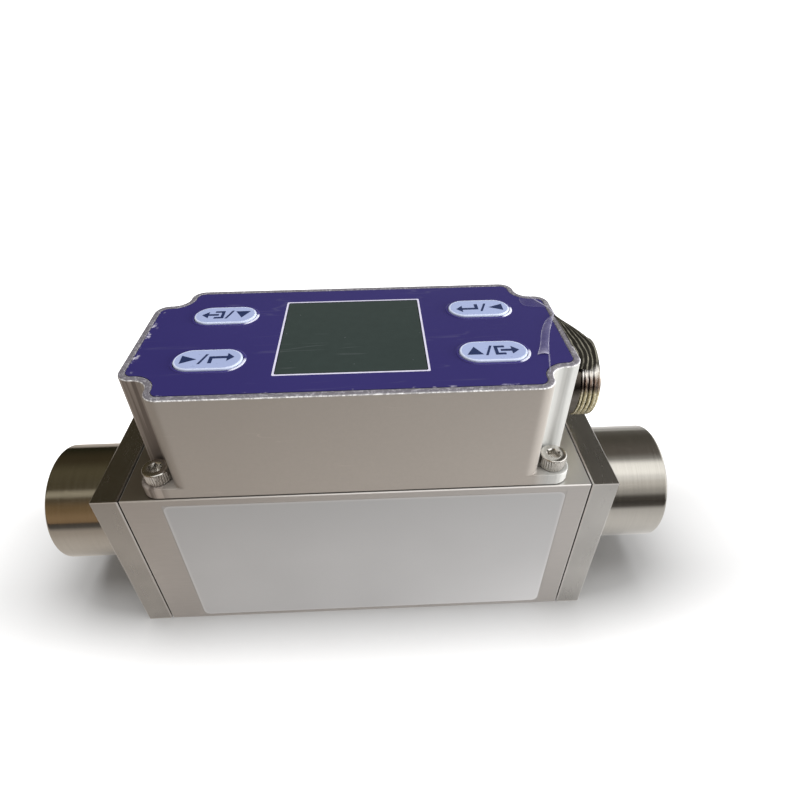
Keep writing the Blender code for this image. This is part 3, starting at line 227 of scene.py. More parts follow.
class MFC_Sizes(bpy.types.PropertyGroup):
    """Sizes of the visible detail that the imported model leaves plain."""

    arc_steps: IntProperty(name="Arc steps", description="Steps round each bend of an outline",
                           default=14, min=4, max=48)
    turned_steps: IntProperty(name="Turned steps", description="Steps round a turned piece",
                              default=120, min=24, max=360)
    emboss_height: LengthSetting(name="Emboss height", description="Height of the ridge round each key",
                                 default=0.16 * MM)
    emboss_width: LengthSetting(name="Emboss width", description="Width of the ridge round each key",
                                default=0.6 * MM)
    knurls: IntProperty(name="Knurls", description="Ridges round the head of a cap screw",
                        default=32, min=12, max=72)
    knurl_depth: LengthSetting(name="Knurl depth", description="Depth of the grooves round a cap screw",
                               default=0.2 * MM)


class MFC_Colours(bpy.types.PropertyGroup):
    """Colours of the finishes, in linear values."""

    housing: ColourSetting(name="Housing", description="Satin metal of the housing",
                           default=(0.42, 0.385, 0.35))
    block: ColourSetting(name="Block", description="Machined metal of the channel block",
                         default=(0.42, 0.40, 0.385))
    steel: ColourSetting(name="Fittings", description="Turned steel of the end fittings",
                         default=(0.44, 0.42, 0.385))
    plate: ColourSetting(name="End plates", description="Brushed steel of the end plates",
                         default=(0.37, 0.36, 0.345))
    panel: ColourSetting(name="Panel", description="Violet print of the panel film",
                         default=(0.031, 0.025, 0.128))
    key: ColourSetting(name="Keys", description="Pale print of the key faces", default=(0.35, 0.41, 0.63))
    ink: ColourSetting(name="Ink", description="Dark print of the key symbols",
                       default=(0.014, 0.026, 0.09))
    display: ColourSetting(name="Display", description="Unlit display", default=(0.031, 0.044, 0.041))
    label: ColourSetting(name="Label", description="Blank label on the front", default=(0.48, 0.48, 0.485))
    nickel: ColourSetting(name="Connector", description="Plated thread of the connector",
                          default=(1.0, 0.98, 0.95))


def sizes():
    """The size settings of the scene."""
    return bpy.context.scene.mfc_sizes


def colours():
    """The colour settings of the scene."""
    return bpy.context.scene.mfc_colours


# Outlines: arrays of points, counter-clockwise

def rounded_outline(corners, steps):
    """Corner arcs joined by straight sides.

    At a corner with directions b and a to its neighbours and a turn of t, the arc of radius r starts
    r tan(t/2) along b, and its centre lies r / cos(t/2) along b + a. One more point stands on each
    side of the arc, a support's length away.
    """
    corners = np.asarray(corners, float)
    here, radius = corners[:, :2], corners[:, 2:3]
    back = np.roll(here, 1, axis=0) - here
    ahead = np.roll(here, -1, axis=0) - here
    back /= np.linalg.norm(back, axis=1, keepdims=True)
    ahead /= np.linalg.norm(ahead, axis=1, keepdims=True)
    turn = np.pi - np.arccos(np.clip(np.sum(back * ahead, axis=1, keepdims=True), -1, 1))
    side = -np.sign(back[:, :1] * ahead[:, 1:] - back[:, 1:] * ahead[:, :1])
    reach = radius * np.tan(turn / 2)
    middle = back + ahead
    middle /= np.linalg.norm(middle, axis=1, keepdims=True)
    centre = here + middle * radius / np.cos(turn / 2)
    start = here + back * reach - centre
    angle = side * turn * np.linspace(0, 1, steps + 1)
    x = centre[:, :1] + start[:, :1] * np.cos(angle) - start[:, 1:] * np.sin(angle)
    y = centre[:, 1:] + start[:, :1] * np.sin(angle) + start[:, 1:] * np.cos(angle)
    arc = np.stack([x, y], axis=2)
    before = here + back * (reach + SUPPORT)
    after = here + ahead * (reach + SUPPORT)
    return np.concatenate([before[:, None], arc, after[:, None]], axis=1).reshape(-1, 2)


def scooped_outline(inset, steps):
    """The housing's plan moved in by inset: a rectangle with a round scoop at each corner screw."""
    half = np.array([HALF_LENGTH - inset, HALF_WIDTH - inset])
    notch = np.array([SCREW_X, SCREW_Y]) - RELIEF_RADIUS - inset
    tip = max(TIP_RADIUS - inset, 0.01 * MM)
    quarter = np.array([[half[0], notch[1], tip], [notch[0], notch[1], RELIEF_RADIUS + inset],
                        [notch[0], half[1], tip]])
    flip = quarter[::-1]
    corners = np.concatenate([quarter, flip * [-1, 1, 1], quarter * [-1, -1, 1], flip * [1, -1, 1]])
    return rounded_outline(corners, steps)


def flange_outline(steps):
    """The flange's rounded rectangle, with one point for each point of the scooped outline.

    Each quarter has a straight run, the corner's arc and another straight run, with as many points
    as the three bends of the scoop above them.
    """
    radius = HALF_LENGTH - SCREW_X
    count = steps + 3
    first = scooped_outline(0.0, steps)[0]
    last = scooped_outline(0.0, steps)[3 * count - 1]
    rise = np.linspace(first[1], HALF_WIDTH - radius, count, endpoint=False)
    sweep = np.linspace(0, np.pi / 2, count)
    run = np.linspace(HALF_LENGTH - radius, last[0], count + 1)[1:]
    quarter = np.concatenate([
        np.stack([np.full(count, HALF_LENGTH), rise], axis=1),
        np.stack([HALF_LENGTH - radius + radius * np.cos(sweep),
                  HALF_WIDTH - radius + radius * np.sin(sweep)], axis=1),
        np.stack([run, np.full(count, HALF_WIDTH)], axis=1)])
    flip = quarter[::-1]
    return np.concatenate([quarter, flip * [-1, 1], quarter * [-1, -1], flip * [1, -1]])


def rectangle(length, width, radius, steps, centre=(0.0, 0.0)):
    """A rectangle with rounded corners."""
    x, y = length / 2, width / 2
    corners = [(-x, -y, radius), (x, -y, radius), (x, y, radius), (-x, y, radius)]
    return rounded_outline(corners, steps) + centre


def stadium(grow, steps, centre=(0.0, 0.0)):
    """A key's outline, wider all round by grow: two half circles and two straight sides."""
    radius = KEY_WIDTH / 2 + grow
    shift = (KEY_LENGTH - KEY_WIDTH) / 2
    angle = np.linspace(-np.pi / 2, np.pi / 2, 2 * steps + 1)
    right = np.stack([shift + radius * np.cos(angle), radius * np.sin(angle)], axis=1)
    return np.concatenate([right, -right]) + centre


def circle(radius, count, centre=(0.0, 0.0), start=0.0):
    """Points at equal angles round a centre."""
    angle = start + 2 * np.pi * np.arange(count) / count
    return np.stack([radius * np.cos(angle), radius * np.sin(angle)], axis=1) + centre


def hexagon(flats, angle):
    """Distance from the centre to a hexagon's side at each angle: the inner radius over the cosine
    of the angle from the nearest side's middle."""
    nearest = np.mod(angle + np.pi / 6, np.pi / 3) - np.pi / 6
    return flats / 2 / np.cos(nearest)


# Surfaces: a chunk is an array of points and a list of faces

def at_height(outline, height):
    """A flat outline as points in space."""
    return np.column_stack([outline, np.full(len(outline), height)])


def quarter_arc(radius, count):
    """Places along a quarter circle, as pairs: the radius less its cosine and the radius less its sine."""
    angle = np.linspace(0, np.pi / 2, count)
    return list(zip(radius * (1 - np.cos(angle)), radius * (1 - np.sin(angle))))


def loft(rows, ring=False, strip=False):
    """Rows of points joined into a grid. It closes round each row unless it is a strip, and back on
    itself if a ring."""
    rows = np.asarray(rows, float)
    levels, columns = rows.shape[:2]
    row = np.arange(levels if ring else levels - 1)[:, None]
    column = np.arange(columns - 1 if strip else columns)[None, :]
    above = np.mod(row + 1, levels)
    beside = np.mod(column + 1, columns)
    faces = np.stack([row * columns + column, row * columns + beside,
                      above * columns + beside, above * columns + column], axis=2)
    return rows.reshape(-1, 3), faces.reshape(-1, 4).tolist()


def flat_face(outline, height, holes=()):
    """A flat face inside an outline and outside the holes, in triangles between the given points."""
    loops = [outline, *holes]
    starts = np.cumsum([0] + [len(loop) for loop in loops]).tolist()
    rings = [list(range(start, end)) for start, end in zip(starts, starts[1:])]
    rings = rings[:1] + [ring[::-1] for ring in rings[1:]]
    points = [Vector(point) for point in np.concatenate(loops)]
    found = delaunay_2d_cdt(points, [], rings, 2 if holes else 1, 1e-9)
    verts = np.array([tuple(vert) for vert in found[0]])
    centres = np.array([verts[list(face)].mean(axis=0) for face in found[2]])
    kept = inside(centres, outline)
    for hole in holes:
        kept &= ~inside(centres, hole)
    return at_height(verts, height), [list(face) for face, keep in zip(found[2], kept) if keep]


def inside(points, outline):
    """Which points lie inside an outline: a ray to the right crosses it an odd number of times."""
    start, end = outline, np.roll(outline, -1, axis=0)
    x, y = points[:, :1], points[:, 1:]
    spans = (start[:, 1] > y) != (end[:, 1] > y)
    rise = np.where(end[:, 1] == start[:, 1], 1.0, end[:, 1] - start[:, 1])
    cross = start[:, 0] + (y - start[:, 1]) / rise * (end[:, 0] - start[:, 0])
    return np.sum(spans & (cross > x), axis=1) % 2 == 1


def slab(outline, low, high, holes=()):
    """A closed flat piece: two faces with holes, and a wall along each outline."""
    chunks = [flat_face(outline, low, holes), flat_face(outline, high, holes)]
    for loop in (outline, *holes):
        chunks.append(loft([at_height(loop, low), at_height(loop, high)]))
    return chunks


def about_z(radius, height, count):
    """Points at equal angles about Z, at radii and heights that may change with the angle."""
    angle = 2 * np.pi * np.arange(count) / count
    return np.stack([radius * np.cos(angle), radius * np.sin(angle), height + 0 * angle], axis=-1)


def revolve(profile, count):
    """A profile of (radius, height) rows turned about Z."""
    radius, height = np.asarray(profile, float).T[:, :, None]
    return about_z(radius, height, count)


def helix_thread(radius, depth, pitch, start, end, count, outward=True):
    """Rows of a screw thread about Z.

    The radius falls from the crest by the depth times a flattened triangle wave of
    height / pitch - angle / a full turn, and the wave fades over the first and last half pitch.
    """
    rows = int(round((end - start) / pitch * THREAD_ROWS)) + 1
    height = np.linspace(start, end, rows)[:, None]
    phase = np.mod(height / pitch - np.arange(count)[None, :] / count, 1.0)
    groove = np.clip(np.abs(2 * phase - 1) * THREAD_STEEPNESS - THREAD_FLAT, 0, 1)
    fade = np.clip((height - start) / (0.5 * pitch), 0, 1) * np.clip((end - height) / (0.5 * pitch), 0, 1)
    change = depth * (1 - groove) * fade
    return about_z(radius - change if outward else radius + change, height, count)


def turn_chunk(chunk, matrix):
    """A chunk carried by a 4 x 4 matrix."""
    points, faces = chunk
    spin = np.array(matrix)
    return points @ spin[:3, :3].T + spin[:3, 3], faces


def along_x(side, origin):
    """The matrix that lays local Z along +X or -X from an origin, with local X downwards."""
    return Matrix(((0, 0, side, origin[0]), (0, side, 0, origin[1]), (-1, 0, 0, origin[2]), (0, 0, 0, 1)))


def make_piece(name, chunks, finish, nodes=(), body=CONTROLLER, angle=32.0, edge=None):
    """One mesh from chunks, merged where they meet, riding on a body and standing for its nodes."""
    starts = np.cumsum([0] + [len(points) for points, _ in chunks]).tolist()
    faces = [[index + start for index in face] for start, (_, part) in zip(starts, chunks) for face in part]
    mesh = bpy.data.meshes.new(name)
    mesh.from_pydata(np.concatenate([points for points, _ in chunks]).tolist(), [], faces)
    if edge is not None:
        values = mesh.attributes.new("edge", "FLOAT", "POINT")
        values.data.foreach_set("value", np.asarray(edge, np.float32))
    shape = bmesh.new()
    shape.from_mesh(mesh)
    bmesh.ops.remove_doubles(shape, verts=shape.verts, dist=MERGE_DISTANCE)
    bmesh.ops.dissolve_degenerate(shape, edges=shape.edges, dist=MERGE_DISTANCE / 2)
    bmesh.ops.recalc_face_normals(shape, faces=shape.faces)
    shape.to_mesh(mesh)
    shape.free()
    mesh.shade_smooth()
    mesh.set_sharp_from_angle(angle=math.radians(angle))
    piece = bpy.data.objects.new(name, mesh)
    bpy.context.scene.collection.objects.link(piece)
    mesh.materials.append(make_finishes()[finish])
    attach(piece, body)
    if nodes:
        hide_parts(*nodes)
    return piece


# Finishes

def fill(tree, node, **values):
    """Set a node's sockets or properties by name. A value that is a socket is linked."""
    for key, value in values.items():
        label = key.replace("_", " ")
        if label not in node.inputs:
            setattr(node, key, value)
        elif isinstance(value, bpy.types.NodeSocket):
            tree.links.new(value, node.inputs[label])
        else:
            node.inputs[label].default_value = value
    return node


def add_node(tree, kind, **values):
    """A new node with some of its sockets or properties set."""
    return fill(tree, tree.nodes.new(kind), **values)


def maths(tree, operation, first, second=None, kind="ShaderNodeMath"):
    """A maths node on sockets or numbers, or on vectors if its kind says so."""
    node = add_node(tree, kind, operation=operation)
    for socket, value in zip(node.inputs, (first, second)):
        if isinstance(value, bpy.types.NodeSocket):
            tree.links.new(value, socket)
        elif value is not None:
            socket.default_value = value
    return node.outputs[0]


def times(tree, first, *others):
    """The product of sockets or numbers."""
    for other in others:
        first = maths(tree, "MULTIPLY", first, other)
    return first


def diagonal(tree, first, second):
    """The root of the sum of two squares."""
    squares = (times(tree, value, value) for value in (first, second))
    return maths(tree, "SQRT", maths(tree, "ADD", *squares))


def ramp_value(tree, source, low, high, out_low=0.0, out_high=1.0):
    """A socket's value carried from one range to another."""
    node = add_node(tree, "ShaderNodeMapRange", Value=source, From_Min=low, From_Max=high, To_Min=out_low,
                    To_Max=out_high)
    return node.outputs["Result"]


def mix_colour(tree, factor, first, second):
    """A colour between two, by a factor socket or a number. A colour may be a socket or a triple."""
    node = add_node(tree, "ShaderNodeMix", data_type="RGBA", Factor=factor)
    for label, value in (("A", first), ("B", second)):
        linked = isinstance(value, bpy.types.NodeSocket)
        fill(tree, node, **{label: value if linked else (*tuple(value)[:3], 1.0)})
    return node.outputs["Result"]


def object_place(tree):
    """The object's own coordinates."""
    return add_node(tree, "ShaderNodeTexCoord").outputs["Object"]


def object_axes(tree):
    """The object's own coordinates as three sockets, X, Y and Z."""
    return tuple(add_node(tree, "ShaderNodeSeparateXYZ", Vector=object_place(tree)).outputs)


def noise(tree, place, scale, detail=3.0, rough=0.6, **values):
    """The value of a noise at a place."""
    node = add_node(tree, "ShaderNodeTexNoise", Vector=place, Scale=scale, Detail=detail, Roughness=rough,
                    **values)
    return node.outputs["Fac"]


def grain_of(tree, scale, low, high):
    """A noise of the object's own coordinates, carried from between low and high to 0 and 1."""
    return ramp_value(tree, noise(tree, object_place(tree), scale), low, high)


def edge_value(tree):
    """The surface's edge attribute."""
    return add_node(tree, "ShaderNodeAttribute", attribute_name="edge").outputs["Fac"]


def bump(tree, shader, height, strength, distance):
    """Small relief from a height socket."""
    node = add_node(tree, "ShaderNodeBump", Strength=strength, Distance=distance, Height=height)
    fill(tree, shader, Normal=node.outputs["Normal"])


def open_group(name, inputs, outputs):
    """A new node group with its sockets, and the sockets that bring its inputs in."""
    group = bpy.data.node_groups.new(name, "ShaderNodeTree")
    for label, default in inputs.items():
        kind = "NodeSocketVector" if isinstance(default, tuple) else "NodeSocketFloat"
        group.interface.new_socket(label, in_out="INPUT", socket_type=kind).default_value = default
    for label in outputs:
        group.interface.new_socket(label, in_out="OUTPUT", socket_type="NodeSocketFloat")
    return group, add_node(group, "NodeGroupInput").outputs


@cache
def grain_group():
    """Uneven finish: a stretched noise, as a shade from 0 to 1 and as a height, and slow clouds."""
    group, given = open_group("surface_grain", {"Stretch": (1.0, 1.0, 1.0), "Scale": 400.0, "Blotch": 30.0},
                              ("Shade", "Height", "Cloud"))
    place = object_place(group)
    stretched = maths(group, "MULTIPLY", place, given["Stretch"], VECTOR_MATHS)
    fine = noise(group, stretched, given["Scale"])
    cloud = noise(group, place, given["Blotch"], 2.0, 0.5)
    add_node(group, "NodeGroupOutput", Shade=ramp_value(group, fine, 0.3, 0.7), Height=fine,
             Cloud=ramp_value(group, cloud, 0.35, 0.65))
    return group


@cache
def scuff_group():
    """Fine scratches and specks: thin lines of a stretched noise near its middle, and sparse dots."""
    group, given = open_group("scuffs_and_specks",
                              {"Scratch Scale": 60.0, "Speck Scale": 500.0, "Speck Amount": 0.02},
                              ("Scratches", "Specks"))
    place = object_place(group)
    turned = add_node(group, "ShaderNodeMapping", Vector=place, Rotation=(0.0, 0.0, 0.9),
                      Scale=(0.12, 1.0, 1.0)).outputs["Vector"]
    lines = noise(group, turned, given["Scratch Scale"], 4.0, 0.7, Distortion=0.4)
    away = maths(group, "ABSOLUTE", maths(group, "SUBTRACT", lines, 0.5))
    thin = ramp_value(group, away, 0.0, 0.006, 1.0, 0.0)
    patch = ramp_value(group, noise(group, place, 90.0, 1.0, 0.5), 0.52, 0.62)
    dots = add_node(group, "ShaderNodeTexVoronoi", Vector=place, Scale=given["Speck Scale"]).outputs
    near = maths(group, "LESS_THAN", dots["Distance"], given["Speck Amount"])
    chance = add_node(group, "ShaderNodeSeparateColor", Color=dots["Color"]).outputs["Red"]
    add_node(group, "NodeGroupOutput", Scratches=times(group, thin, patch),
             Specks=times(group, near, maths(group, "LESS_THAN", chance, 0.35)))
    return group


@cache
def edge_group():
    """Nearness to the edges of a box, from 1 on an edge to 0 a width away.

    The distances to the box's three pairs of faces are sorted, and the second smallest is compared
    with the width. The box lies the same way on both sides of x = 0.
    """
    group, given = open_group("box_edges", {"Centre": (0.0, 0.0, 0.0), "Half": (1.0, 1.0, 1.0),
                                            "Width": 0.3 * MM}, ("Mask",))
    x, y, z = object_axes(group)
    place = add_node(group, "ShaderNodeCombineXYZ", X=maths(group, "ABSOLUTE", x), Y=y, Z=z).outputs[0]
    shift = maths(group, "SUBTRACT", place, given["Centre"], VECTOR_MATHS)
    size = maths(group, "ABSOLUTE", shift, kind=VECTOR_MATHS)
    gap = maths(group, "SUBTRACT", given["Half"], size, VECTOR_MATHS)
    x, y, z = add_node(group, "ShaderNodeSeparateXYZ", Vector=gap).outputs
    second = maths(group, "MAXIMUM", maths(group, "MINIMUM", x, y),
                   maths(group, "MINIMUM", maths(group, "MAXIMUM", x, y), z))
    ratio = maths(group, "DIVIDE", maths(group, "ABSOLUTE", second), given["Width"])
    mask = maths(group, "MAXIMUM", maths(group, "SUBTRACT", 1.0, ratio), 0.0)
    add_node(group, "NodeGroupOutput", Mask=mask)
    return group


def use_group(tree, group, **values):
    """The outputs of a group with its own values."""
    return add_node(tree, "ShaderNodeGroup", node_tree=group, **values).outputs


def scaled(colour, factor):
    """A colour made lighter or darker."""
    return tuple(min(1.0, channel * factor) for channel in tuple(colour)[:3])


def new_material(name):
    """A material with its node tree and Principled shader."""
    material = bpy.data.materials.new(name)
    material.use_nodes = True
    return material, material.node_tree, material.node_tree.nodes["Principled BSDF"]


def reopen(material):
    """A material's node tree, its shader and the socket that feeds its colour."""
    tree = material.node_tree
    shader = tree.nodes["Principled BSDF"]
    return tree, shader, shader.inputs["Base Color"].links[0].from_socket


def shaded(tree, grain, colour, contrast):
    """A colour that moves about the given one by a grain's shade."""
    return mix_colour(tree, grain["Shade"], scaled(colour, 1 - contrast), scaled(colour, 1 + contrast))


def scuffed(tree, base, specks, scratches, strength, colour):
    """A base colour with pale scratches and specks over it."""
    scuffs = use_group(tree, scuff_group(), Speck_Amount=specks)
    marks = maths(tree, "MAXIMUM", times(tree, scuffs["Scratches"], scratches), scuffs["Specks"])
    return mix_colour(tree, times(tree, marks, strength), base, colour)


def metal(name, colour, metallic=0.9, rough=(0.3, 0.42), stretch=(1, 1, 1), scale=900.0, blotch=35.0,
          contrast=0.16, relief=0.02 * MM, specks=0.0, tint=None):
    """Metal with a stretched grain, cloudy shade, a little relief and pale specks.

    Its colour moves about the given one by the grain's shade, and towards the tint in the clouds.
    """
    material, tree, shader = new_material(name)
    grain = use_group(tree, grain_group(), Stretch=stretch, Scale=scale, Blotch=blotch)
    base = shaded(tree, grain, colour, contrast)
    base = mix_colour(tree, times(tree, grain["Cloud"], 0.35), base, tint or scaled(colour, 0.86))
    if specks > 0:
        base = scuffed(tree, base, specks, 0.3, 0.5, scaled(colour, 1.9))
    mixed = times(tree, maths(tree, "ADD", grain["Shade"], grain["Cloud"]), 0.5)
    fill(tree, shader, Metallic=metallic, Base_Color=base,
         Roughness=ramp_value(tree, mixed, 0.0, 1.0, *rough))
    bump(tree, shader, grain["Height"], 0.35, relief)
    return material


def plastic(name, colour, rough=(0.35, 0.5), scale=700.0, contrast=0.1, relief=0.02 * MM, shine=0.5,
            specks=0.0, dust=0.16):
    """Moulded, printed or rubber surface with a fine even grain."""
    material, tree, shader = new_material(name)
    grain = use_group(tree, grain_group(), Scale=scale, Blotch=40.0)
    base = shaded(tree, grain, colour, contrast)
    base = mix_colour(tree, times(tree, grain["Cloud"], 0.3), base, scaled(colour, 0.85))
    if specks > 0:
        base = scuffed(tree, base, specks, 0.25, dust, (0.6, 0.6, 0.65))
    fill(tree, shader, Specular_IOR_Level=shine, Base_Color=base,
         Roughness=ramp_value(tree, grain["Shade"], 0.0, 1.0, *rough))
    if relief > 0:
        bump(tree, shader, grain["Height"], 0.3, relief)
    return material


def panel_material(colour):
    """Smooth violet print, with pale chips along the left end and the front edge."""
    material = plastic("panel_violet", colour, rough=(0.28, 0.3), scale=1200.0, contrast=0.01, relief=0.0,
                       shine=0.25, specks=0.002)
    tree, shader, base = reopen(material)
    x, y, _ = object_axes(tree)
    left = ramp_value(tree, x, FILM_LOW.x + 1.6 * MM, FILM_LOW.x + 0.2 * MM)
    front = ramp_value(tree, y, FILM_LOW.y + 0.5 * MM, FILM_LOW.y + 0.1 * MM, 0.0, 0.7)
    chips = times(tree, maths(tree, "MAXIMUM", left, front), grain_of(tree, 520.0, 0.60, 0.68))
    fill(tree, shader, Base_Color=mix_colour(tree, chips, base, (0.50, 0.48, 0.58)))
    return material


def edge_material(name, middle, rim, rough=0.3, low=0.55, high=0.8):
    """Print whose colour changes towards a painted highlight colour at the rim, by the surface's edge
    attribute.
    """
    material, tree, shader = new_material(name)
    grain = use_group(tree, grain_group(), Scale=900.0, Blotch=60.0)
    base = mix_colour(tree, ramp_value(tree, edge_value(tree), low, high), middle, rim)
    base = mix_colour(tree, times(tree, grain["Cloud"], 0.25), base, scaled(middle, 0.88))
    fill(tree, shader, Base_Color=base,
         Roughness=ramp_value(tree, grain["Shade"], 0.0, 1.0, rough - 0.05, rough + 0.08))
    bump(tree, shader, grain["Height"], 0.15, 0.02 * MM)
    return material


def clear_film_material(name):
    """Thin clear film: faint in the middle, and whiter where the edge attribute rises, a painted highlight.
    """
    material, tree, shader = new_material(name)
    edge = edge_value(tree)
    grain = use_group(tree, grain_group(), Stretch=(1.0, 0.3, 1.0), Scale=700.0, Blotch=420.0)
    uneven = ramp_value(tree, grain["Cloud"], 0.0, 1.0, 0.55, 1.1)
    fill(tree, shader, Roughness=0.2, Specular_IOR_Level=0.2, Alpha=times(tree, edge, uneven),
         Base_Color=mix_colour(tree, edge, (0.24, 0.22, 0.38), (0.72, 0.70, 0.80)))
    bump(tree, shader, grain["Height"], 0.4, 0.05 * MM)
    return material


def streaked_film_material(name):
    """Bent film with a painted reflection of its surroundings in long dark and pale streaks.

    The streaks are a sine of the edge attribute, which rises across the film, bent by a slow noise.
    The film fades out towards its lower end.
    """
    material, tree, shader = new_material(name)
    edge = edge_value(tree)
    grain = use_group(tree, grain_group(), Stretch=(1.0, 0.5, 1.0), Scale=900.0, Blotch=260.0)
    bend = ramp_value(tree, grain["Cloud"], 0.0, 1.0, -0.9, 0.9)
    phase = maths(tree, "ADD", times(tree, edge, 2 * math.pi * STREAKS), bend)
    broken = ramp_value(tree, grain["Shade"], 0.0, 1.0, 0.4, 1.0)
    patchy = ramp_value(tree, grain_of(tree, 420.0, 0.38, 0.6), 0.0, 1.0, 0.3, 1.0)
    shade = times(tree, ramp_value(tree, maths(tree, "SINE", phase), 0.3, 1.0), broken, patchy)
    # The streaks' dark and pale colours are a painted reflection
    base = mix_colour(tree, shade, (0.012, 0.011, 0.009), (0.20, 0.19, 0.15))
    base = mix_colour(tree, ramp_value(tree, edge, 0.95, 1.0), base, (0.13, 0.13, 0.11))
    z = object_axes(tree)[2]
    fill(tree, shader, Roughness=0.4, Specular_IOR_Level=0.0, Base_Color=base,
         Alpha=ramp_value(tree, z, *TONGUE_FADE))
    return material


def housing_material(colour):
    """Satin housing metal. Its rim is greyer on top, with a painted highlight, broken into
    sparkles, along the rounded edge.

    The corner scoops are streaked from top to bottom, with painted light in silver on the right and
    painted shade in brown on the left.
    """
    material = metal("housing_satin", colour, metallic=0.4, rough=(0.46, 0.54), scale=1500.0, blotch=28.0,
                     contrast=0.025, relief=0.003 * MM, specks=0.006, tint=scaled(colour, 0.95))
    tree, shader, base = reopen(material)
    x, y, z = object_axes(tree)
    top = HOUSING_HIGH.z
    # A noise that breaks the painted highlight on the rounded edge into sparkles and mottles the rim's grey
    # top
    rim_noise = noise(tree, object_place(tree), 1500.0, 4.0, 0.75)
    rim = ramp_value(tree, z, top - 0.75 * ROOF_EDGE, top - 0.5 * ROOF_EDGE)
    flat = ramp_value(tree, z, top - 0.35 * ROOF_EDGE, top - 0.15 * ROOF_EDGE)
    above_floor = ramp_value(tree, z, top - PANEL_RECESS, top - 0.2 * PANEL_RECESS)
    scoop = times(tree, maths(tree, "SUBTRACT", 1.0, rim),
                  ramp_value(tree, maths(tree, "ABSOLUTE", y), *SCOOP_START))
    # Painted light on the scoops at the right end, painted shade on those at the left end
    pale = ramp_value(tree, x, *SCOOP_RIGHT, 0.0, 0.85)
    dull = ramp_value(tree, x, *SCOOP_LEFT, 0.0, 0.75)
    streaks = use_group(tree, grain_group(), Stretch=(1.0, 1.0, 0.02), Scale=620.0)["Shade"]
    silver = mix_colour(tree, streaks, (0.46, 0.47, 0.46), (0.72, 0.73, 0.71))
    brown = mix_colour(tree, ramp_value(tree, streaks, 0.3, 0.7), (0.13, 0.10, 0.085), (0.46, 0.40, 0.36))
    # Painted highlight along the rounded roof edge, broken into sparkles
    sparkle = ramp_value(tree, rim_noise, 0.44, 0.58, 0.2, 1.0)
    bright = mix_colour(tree, sparkle, (0.26, 0.25, 0.26), (1.0, 1.0, 1.0))
    grey = mix_colour(tree, ramp_value(tree, rim_noise, 0.5, 0.7), (0.16, 0.15, 0.17), (0.42, 0.41, 0.44))
    for mask, over in ((times(tree, scoop, pale), silver), (times(tree, scoop, dull), brown), (rim, bright),
                       (times(tree, flat, above_floor), grey)):
        base = mix_colour(tree, mask, base, over)
    fill(tree, shader, Base_Color=base, Metallic=ramp_value(tree, rim, 0.0, 1.0, 0.4, 0.1))
    return material


def block_material(colour):
    """Machined metal with a painted highlight along its edges. Its top has painted light at the right
    and painted shade at the left.
    """
    material = metal("block_machined", colour, metallic=0.82, rough=(0.3, 0.36), stretch=(0.12, 1.0, 1.0),
                     scale=1800.0, blotch=18.0, contrast=0.03, relief=0.004 * MM, specks=0.006,
                     tint=scaled(colour, 0.94))
    tree, shader, base = reopen(material)
    x, _, z = object_axes(tree)
    top = ramp_value(tree, z, BODY_HIGH.z - 0.2 * MM, BODY_HIGH.z - 0.05 * MM)
    # Painted light on the top at the right end, painted shade on the top at the left end
    for side, over in ((1, (0.70, 0.69, 0.67)), (-1, (0.20, 0.17, 0.13))):
        end = ramp_value(tree, x, side * BLOCK_TOP_LIGHT_SPAN[0], side * BLOCK_TOP_LIGHT_SPAN[1])
        base = mix_colour(tree, times(tree, top, end), base, over)
    # A painted highlight along the block's edges
    edges = use_group(tree, edge_group(), Centre=(BODY_LOW + BODY_HIGH) / 2, Half=(BODY_HIGH - BODY_LOW) / 2,
                      Width=0.35 * MM)
    fill(tree, shader, Base_Color=mix_colour(tree, edges["Mask"], base, (0.80, 0.78, 0.76)))
    return material


def fitting_material(colour, plate):
    """Turned steel: bright on the stub, with fine rings, and brushed on the plate, paler along its edges.

    Away from the flow axis by more than the stub's radius the surface belongs to the plate. The stub
    on the right is a little darker.
    """
    material = metal("fitting_turned", colour, metallic=1.0, rough=(0.10, 0.18), stretch=(1.0, 0.03, 0.03),
                     scale=2600.0, blotch=45.0, contrast=0.05, relief=0.003 * MM, specks=0.008,
                     tint=scaled(colour, 0.84))
    tree, shader, base = reopen(material)
    x, y, z = object_axes(tree)
    away = diagonal(tree, y, maths(tree, "SUBTRACT", z, FLOW_Z))
    on_plate = ramp_value(tree, away, STUB_RADIUS + 0.2 * MM, STUB_RADIUS + 0.6 * MM)
    grain = use_group(tree, grain_group(), Stretch=(1.0, 0.12, 0.12), Scale=900.0, Blotch=60.0)
    brushed = mix_colour(tree, grain["Cloud"], scaled(plate, 0.92), scaled(plate, 1.08))
    edges = use_group(tree, edge_group(), Centre=(PLATE_FACE + PLATE_THICKNESS / 2, 0.0, FLOW_Z),
                      Half=(PLATE_THICKNESS / 2, BODY_HIGH.y, BODY_HIGH.y), Width=0.4 * MM)
    brushed = mix_colour(tree, edges["Mask"], brushed, (0.62, 0.60, 0.58))
    outlet = ramp_value(tree, x, PLATE_FACE, PLATE_FACE + PLATE_THICKNESS, 0.0, 0.08)
    base = mix_colour(tree, outlet, base, (0.0, 0.0, 0.0))
    smooth = shader.inputs["Roughness"].links[0].from_socket
    rough = add_node(tree, "ShaderNodeMix", Factor=on_plate, A=smooth,
                     B=ramp_value(tree, grain["Shade"], 0.0, 1.0, 0.24, 0.28))
    fill(tree, shader, Base_Color=mix_colour(tree, on_plate, base, brushed),
         Roughness=rough.outputs["Result"])
    return material


